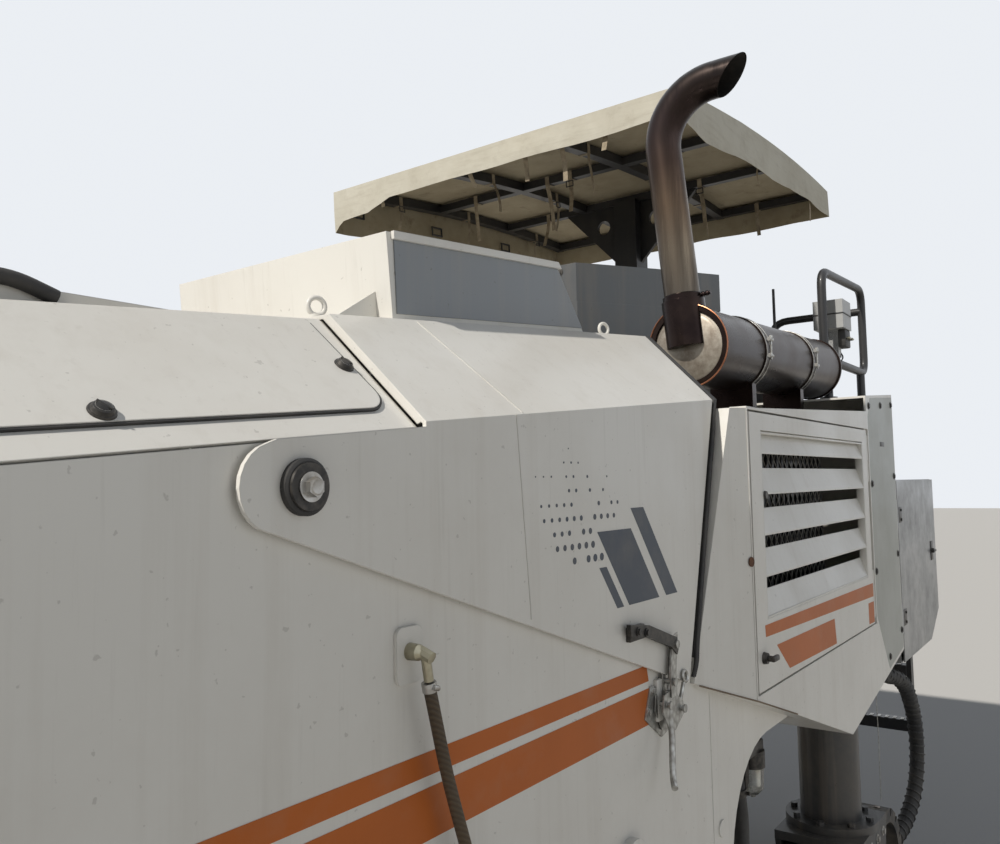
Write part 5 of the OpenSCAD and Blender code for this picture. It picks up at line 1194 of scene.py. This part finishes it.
# dark grey paint made darker still: painted shade of the parts low under the machine
shade_darkened_grey = paint("shade_darkened_grey_paint", (0.052, 0.053, 0.054), (0.20, 0.165, 0.125), 0.5, 1.5)
orange_paint = paint("orange_paint", (0.48, 0.135, 0.028), (0.27, 0.22, 0.17), 0.42, 1.1)
wear(["scraper"], shade_darkened_grey)
wear(["side_plates"], orange_paint)
worn_steel, n = clouded("worn_steel", (0.27, 0.24, 0.21), (0.12, 0.075, 0.048), (24, 5, 0.7),
                        0.38, 0.68, 0.9, 0.38, 0.3)
n.bump(n.noise(90, 4, 0.65), 0.3, 0.0016, 0.002)
wear_bolts = bmesh.new()
for x in [-0.50 + 0.125 * i for i in range(9)]:
    bolt_part(wear_bolts, at(x, -side_y - 0.024, 0.145), (0, -1, 0), 0.012, 0.011)
    bolt_part(wear_bolts, at(x, -side_y - 0.024, 0.705), (0, -1, 0), 0.010, 0.010)
piece("side_plate_bolts", wear_bolts, zinc, "chassis")
edge_bolts = bmesh.new()
scraper_low, scraper_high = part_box("scraper")
for i in range(11):
    y = scraper_low.y + 0.06 + i * (scraper_high.y - scraper_low.y - 0.12) / 10
    if min(abs(y - k) for k in (-1.07, -0.49, 0.09)) > 0.03:
        place = Vector((drum_x - 0.6261, y, 0.215))
        bolt_part(edge_bolts, place, (-1, 0, 0), 0.012, 0.011)
piece("scraper_bolts", edge_bolts, zinc, "scraper_board")

# Milling drum: a steel tube worn bright and rusty, with holders on two opposed helices, and in
# each holder a conical pick with a collar and a dark carbide tip.
wear(["milling_drum"], worn_steel)
picks, tips = bmesh.new(), bmesh.new()
drum_y, drum_high, per_side = -side_y + 0.680, 0.6, 34
holder, pick_way = Vector((0.415, 0, 0)), Vector((0.819, 0, 0.5736))
for side_of in (-1, 1):
    for i in range(per_side):
        turn = math.radians(side_of * i * 37 + (0 if side_of > 0 else 180))
        y = drum_y - side_of * (0.020 + i * 0.610 / (per_side - 1))
        spin = Matrix.Rotation(-turn, 3, "Y")
        foot, out = at(0, y, drum_high) + spin @ holder, spin @ pick_way
        turned_part(picks, foot, out, ((0.026, 0.034, 0.0225, 0.0215),), 18)
        turned_part(tips, foot, out, ((0.073, 0.088, 0.0068, 0.0024),), 12)
piece("pick_collars", picks, steel_dark, "drum")
carbide, n = finish_of("carbide", metallic=1.0, rough=0.25)
n.feed("Base Color", n.mix(n.noise(80, 3, 0.5), (0.10, 0.10, 0.105), (0.20, 0.20, 0.20)))
piece("pick_tips", tips, carbide, "drum")

# Crawler legs: dark grey paint, darker still as painted shade, under road dust, with bolted hub
# caps, greasy columns and a line of bolts along the yokes; the tracks are dusty rubber on steel
# shoes, each shoe bolted.
wear(["leg_front_left", "leg_front_right", "leg_rear_left", "leg_rear_right"], shade_darkened_grey)
track_rubber = rubber("track_rubber", (0.030, 0.029, 0.028), (0.20, 0.175, 0.14), 0.75)
wear(["track_front_left", "track_front_right", "track_rear_left", "track_rear_right"], track_rubber)
track_long, track_high, belt_thick, shoe = 1.330, 0.570, 0.026, 0.034
span, wheel = track_long - track_high, track_high / 2 - belt_thick - shoe


def on_loop(s, r):
    """Place on a track's loop, and its way out, at a distance along it."""
    half = math.pi * r
    s = s % (2 * span + 2 * half)
    if s < span:
        return Vector((-span / 2 + s, 0, r)), Vector((0, 0, 1))
    if span + half <= s < 2 * span + half:
        return Vector((span / 2 - (s - span - half), 0, -r)), Vector((0, 0, -1))
    ahead = s < span + half
    a = math.pi / 2 - (s - span) / r if ahead else -math.pi / 2 - (s - 2 * span - half) / r
    out = Vector((math.cos(a), 0, math.sin(a)))
    return Vector((span / 2 if ahead else -span / 2, 0, 0)) + out * r, out


front_x, rear_x, track_y = 1.450, -2.150, 1.030
for corner_name, x, y in (("front_left", front_x, track_y), ("front_right", front_x, -track_y),
                          ("rear_left", rear_x, track_y), ("rear_right", rear_x, -track_y)):
    hubs, shoe_bolts = bmesh.new(), bmesh.new()
    centre = at(x, y, track_high / 2)
    for side_of in (-1, 1):
        for wx in (-span / 2, span / 2):
            foot = centre + Vector((wx, side_of * 0.1006, 0))
            out = Vector((0, side_of, 0))
            turned_part(hubs, foot, out, ((0, 0.012, 0.048, 0.043),), 32)
            for dx, dz in arc(0, 0, 0.066, 15, 315, 5):
                bolt_part(hubs, foot + Vector((dx, 0, dz)), out, 0.0075, 0.007)
        turned_part(hubs, centre, out, ((0.174, 0.180, 0.036, 0.034),), 28)
        for dx in (-0.15, -0.05, 0.05, 0.15):
            bolt_part(hubs, centre + Vector((dx, side_of * 0.166, 0.285)), out, 0.011, 0.010)
    piece(f"hubs_{corner_name}", hubs, zinc, f"crawler_{corner_name}")
    belt_r, shoes = wheel + belt_thick, 30
    pitch = (2 * span + 2 * math.pi * belt_r) / shoes
    for i in range(shoes):
        p, out = on_loop((i + 0.49) * pitch + span / 2 - pitch / 2, belt_r)
        # no heads on the shoes that stand on the ground
        if (centre + p + out * shoe).z < 0.045:
            continue
        for dy in (-0.085, 0.085):
            foot = centre + p + out * 0.0335 + Vector((0, dy, 0))
            turned_part(shoe_bolts, foot, out, ((0, 0.0022, 0.0145, 0.0135),), 16)
            turned_part(shoe_bolts, foot, out, ((0, 0.0032, 0.0085, 0.0085),), 6)
    piece(f"shoe_bolts_{corner_name}", shoe_bolts, worn_steel, f"crawler_{corner_name}")

# Primary conveyor, slewing bracket and discharge boom: grey trough and bracket, darkened as
# painted shade, white slotted beams with bolted bearings at both ends, and a dusty cleated rubber
# belt.
wear(["primary_conveyor", "slew_bracket"], shade_darkened_grey)
boom_white = paint("boom_paint", (0.70, 0.685, 0.64), (0.30, 0.26, 0.20), 0.40, 1.0)
wear(["boom"], boom_white)
belt_rubber = rubber("belt_rubber", (0.022, 0.022, 0.022), (0.17, 0.15, 0.12), 0.6)
wear(["boom_belt"], belt_rubber)
slew_at, luff_high = Vector((2.560, -0.250)), 1.150
boom_at = Matrix.Translation(at(*slew_at, luff_high)) @ Matrix.Rotation(math.radians(-14), 4, "Y")
bearings, boom_bolts = bmesh.new(), bmesh.new()
beam_y = 0.345
for side_of in (-1, 1):
    out = boom_at.to_3x3() @ Vector((0, side_of, 0))
    for x in (-0.120, 5.320):
        middle = Matrix.Translation((x, side_of * (beam_y + 0.0074), 0.055))
        bmesh.ops.create_cube(
            bearings, size=1, matrix=boom_at @ middle @ Matrix.Diagonal((0.150, 0.0142, 0.10, 1)),
        )
        for dx in (-0.060, 0.060):
            for dz in (-0.036, 0.036):
                head = Vector((x + dx, side_of * (beam_y + 0.0145), 0.055 + dz))
                bolt_part(boom_bolts, boom_at @ head, out, 0.010, 0.009)
    for i in range(12):
        for z in (-0.036, 0.096):
            head = Vector((0.550 + i * 4.5 / 11, side_of * beam_y, z))
            bolt_part(boom_bolts, boom_at @ head, out, 0.0085, 0.007)
piece("boom_bearings", bearings, shade_darkened_grey, "discharge_boom")
piece("boom_bolts", boom_bolts, zinc, "discharge_boom")
bracket_bolts = bmesh.new()
for x, y in arc(*slew_at, 0.212, 15, 345, 11):
    bolt_part(bracket_bolts, at(x, y, 0.8003), upward, 0.011, 0.010)
for side_of in (-1, 1):
    foot = at(slew_at.x, slew_at.y + side_of * 0.3925, luff_high)
    out = Vector((0, side_of, 0))
    turned_part(bracket_bolts, foot, out, ((0, 0.008, 0.052, 0.050),), 36)
    for dx, dz in arc(0, 0, 0.036, 45, 315, 3):
        bolt_part(bracket_bolts, foot + Vector((dx, side_of * 0.008, dz)), out, 0.007, 0.006)
piece("bracket_bolts", bracket_bolts, zinc, "slewing_bracket")
mouth_bolts = bmesh.new()
for z in [1.16 + 0.175 * i for i in range(5)]:
    for y in (-0.655, 0.155):
        bolt_part(mouth_bolts, at(2.080, y, z), forward, 0.010, 0.009)
piece("mouth_bolts", mouth_bolts, zinc, "chassis")

# Luffing cylinder: barrel in the same dark grey, darkened as painted shade, hard chrome rod,
# with two capped hose ports.
chrome, n = clouded("chrome_rod", (0.62, 0.63, 0.64), (0.42, 0.41, 0.39), (9, 4, 0.6), 0.5, 0.8,
                    1.0, 0.10, 0.18)
wear(["luff_barrel"], shade_darkened_grey)
wear(["luff_rod"], chrome)
stroke, out = Vector((0.838991, 0, 0.544145)), Vector((-0.544145, 0, 0.838991))
ports = bmesh.new()
for along_barrel in (0.14, 0.62):
    foot = pivots["luff_barrel_tilt"] + stroke * along_barrel + out * 0.048
    turned_part(ports, foot, out, ((0, 0.030, 0.016, 0.016),))
    turned_part(ports, foot, out, ((0.030, 0.046, 0.019, 0.019),), 6)
piece("cylinder_ports", ports, zinc, "cylinder_barrel")

# Side hose: brown braided sleeve with spiral ridges, a screwed clip, and a zinc swivel elbow on
# a white plate; its lower end goes into a plain socket.
braid, n = finish_of("braided_sleeve", rough=0.7)
ridges = n.bands(46, turn=(0, 0.55, 0), axis="Z")
weave = n.mix(n.ramp(n.noise(7, 4, 0.6), 0.35, 0.7), (0.080, 0.052, 0.026), (0.036, 0.025, 0.015))
raised_part = n.maths("MULTIPLY", n.ramp(ridges, 0.2, 0.8), 0.30)
n.feed("Base Color", n.mix(raised_part, weave, (0.13, 0.095, 0.055)))
n.bump(ridges, 0.6, 0.0018)
hose_run = [(0.598, 0.036, 1.738), (0.560, 0.036, 1.600), (0.500, 0.034, 1.440)]
hose_run += [(0.440, 0.030, 1.280), (0.402, 0.024, 1.186)]
hose_run = [(x, side_y + y, z) for x, y, z in hose_run]
hose = tube("side_hose_sleeve", hose_run, 0.0100, braid, "chassis", 0.05, sides=10)
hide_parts("side_hose")
hose_plate = bmesh.new()
rounded = arc(0.593, 1.758, 0.012, 180, 270, 4) + arc(0.627, 1.758, 0.012, 270, 360, 4)
rounded += arc(0.627, 1.821, 0.012, 0, 90, 4) + arc(0.593, 1.821, 0.012, 90, 180, 4)
plate_part(hose_plate, rounded, 0.0065, on_side(side_y + 0.0002))
rod_part(hose_plate, at(0.396, side_y, 1.168), at(0.396, side_y + 0.026, 1.168), 0.022, sides=32)
piece("hose_plate", hose_plate, white_paint, "chassis")
elbow = bmesh.new()
turned_part(elbow, at(0.610, side_y, 1.795), left, ((0.006, 0.026, 0.0135, 0.0125),
                                                   (0.026, 0.034, 0.0125, 0.0070)), 28)
rod_part(elbow, at(0.608, side_y + 0.026, 1.797), at(0.606, side_y + 0.048, 1.788), 0.0098, 0.0098,
         8)
rod_part(elbow, at(0.607, side_y + 0.036, 1.790), at(0.600, side_y + 0.036, 1.752), 0.0078,
         sides=20)
brass, n = patched("yellow_zinc", (0.42, 0.39, 0.29), (0.23, 0.21, 0.16), (20, 4, 0.6), 0.4, 0.7,
                   metallic=1.0, rough=0.34)
piece("hose_elbow", elbow, brass, "chassis")
clip = bmesh.new()
rod_part(clip, at(0.6005, side_y + 0.036, 1.750), at(0.5975, side_y + 0.036, 1.736), 0.0118,
         sides=28)
rod_part(clip, at(0.593, side_y + 0.049, 1.741), at(0.605, side_y + 0.049, 1.745), 0.0042)
piece("hose_clip", clip, zinc, "chassis")

# Leg hose: thick black hose wound with a spiral guard, hanging from the rear cross box in a
# sweep to the crawler, with a thin wire hanging beside it.
points = [Vector(p) for p in (
    (-2.385, 1.100, 1.180), (-2.650, 1.130, 1.140), (-2.960, 1.165, 1.050), (-3.180, 1.165, 0.870),
    (-3.270, 1.160, 0.660), (-3.220, 1.150, 0.470), (-3.060, 1.130, 0.350), (-2.900, 1.100, 0.300),
)]
smooth_run = []
for i in range(len(points) - 1):
    p0, p1 = points[max(i - 1, 0)], points[i]
    p2, p3 = points[i + 1], points[min(i + 2, len(points) - 1)]
    for k in range(10):
        t = k / 10
        smooth_run.append(0.5 * (2 * p1 + (p2 - p0) * t + (2 * p0 - 5 * p1 + 4 * p2 - p3) * t ** 2
                                 + (3 * p1 - p0 - 3 * p2 + p3) * t ** 3))
smooth_run.append(points[-1])
leg_core = tube("leg_hose_core", smooth_run, 0.0335, black_rubber, "chassis",
                sides=8)
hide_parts("leg_hose")
wound, travelled = [], 0.0
for a, b in zip(smooth_run, smooth_run[1:]):
    way = (b - a).normalized()
    across_way = way.cross(Vector((0, 1, 0))).normalized()
    lift_way = across_way.cross(way)
    for k in range(5):
        p = a.lerp(b, k / 5)
        turn = 2 * math.pi * (travelled + (b - a).length * k / 5) / 0.042
        wound.append(p + (across_way * math.cos(turn) + lift_way * math.sin(turn)) * 0.0345)
    travelled += (b - a).length
tube("leg_hose_spiral", wound, 0.0048, dark_plastic, "chassis", sides=2)
hose_end = bmesh.new()
rod_part(hose_end, at(-2.3505, 1.100, 1.185), at(-2.395, 1.100, 1.181), 0.036, sides=28)
piece("leg_hose_flange", hose_end, steel_dark, "chassis")
wire = [(-2.50, 1.15, 1.10), (-2.497, 1.152, 0.90), (-2.505, 1.148, 0.62)]
tube("hanging_wire", wire, 0.0016, galvanised, "chassis", sides=2)

# Work lamps: a pale two-part lamp box on a black bracket of the handrail, with two brass wing
# screws and a cable, and two round lamps with ribbed glass and bright rims on the front plate.
lamp_grey = paint("lamp_grey", (0.40, 0.405, 0.40), (0.28, 0.25, 0.20), 0.45, 0.8, chips=0.2)
wear(["work_lamps"], lamp_grey)
lamp_black = bmesh.new()
lamp_y, lamp_high = 0.95, 1.735
box_part(lamp_black, (-2.795, 0.945, 2.684), (-2.700, 1.045, 2.7698), 0.006)
box_part(lamp_black, (-2.802, 0.9075, 2.838), (-2.648, 1.0525, 2.8445), 0.001)
for y in (lamp_y, -lamp_y):
    ring_part(lamp_black, at(2.2005, y, lamp_high), forward, 0.0685, 0.0065, 48)
    turned_part(lamp_black, at(0, y, lamp_high), forward, ((2.1405, 2.196, 0.0712, 0.0712),), 48)
piece("lamp_brackets", lamp_black, dark_plastic, "chassis")
wings = bmesh.new()
for x in (-2.772, -2.722):
    rod_part(wings, at(x, 1.045, 2.725), at(x, 1.062, 2.725), 0.007)
    rod_part(wings, at(x - 0.013, 1.060, 2.725), at(x + 0.013, 1.060, 2.725), 0.0045)
piece("lamp_wing_screws", wings, brass, "chassis")
cable = [(-2.745, 0.99, 2.686), (-2.75, 1.02, 2.64), (-2.70, 1.012, 2.60)]
cable += [(-2.585, 1.008, 2.595), (-2.578, 1.000, 2.45)]
tube("lamp_cable", cable, 0.0035, black_rubber, "chassis", 0.02, sides=3)
glass, n = finish_of("lamp_glass", rough=0.12, coat=0.6)
ribs = n.maths("MAXIMUM", n.bands(60, axis="Y"), n.bands(60, axis="Z"))
n.feed("Base Color", n.mix(ribs, (0.30, 0.31, 0.32), (0.55, 0.56, 0.57)))
n.bump(ribs, 0.4, 0.001)
lenses = bmesh.new()
for y in (lamp_y, -lamp_y):
    turned_part(lenses, at(0, y, lamp_high), forward, ((2.196, 2.2045, 0.0640, 0.0560),), 48)
piece("lamp_lenses", lenses, glass, "chassis")

# Pole beside the left seat: light grey below, a black rod above, on a small gusseted foot.
pole = bmesh.new()
rod_part(pole, at(-2.90, 0.64, 1.6003), at(-2.90, 0.64, 2.80), 0.012, sides=20)
box_part(pole, (-2.94, 0.60, 1.6003), (-2.86, 0.68, 1.608), 0.001)
gusset = [(-2.900, 2.80), (-2.868, 2.80), (-2.900, 2.86), (-2.912, 2.86), (-2.912, 2.80)]
plate_part(pole, gusset, 0.004, on_side(0.638))
piece("pole_foot", pole, lamp_grey, "chassis")
rod = bmesh.new()
rod_part(rod, at(-2.90, 0.64, 2.79), at(-2.90, 0.64, 3.06), 0.008, 0.007, 16)
piece("pole_rod", rod, dark_plastic, "chassis")
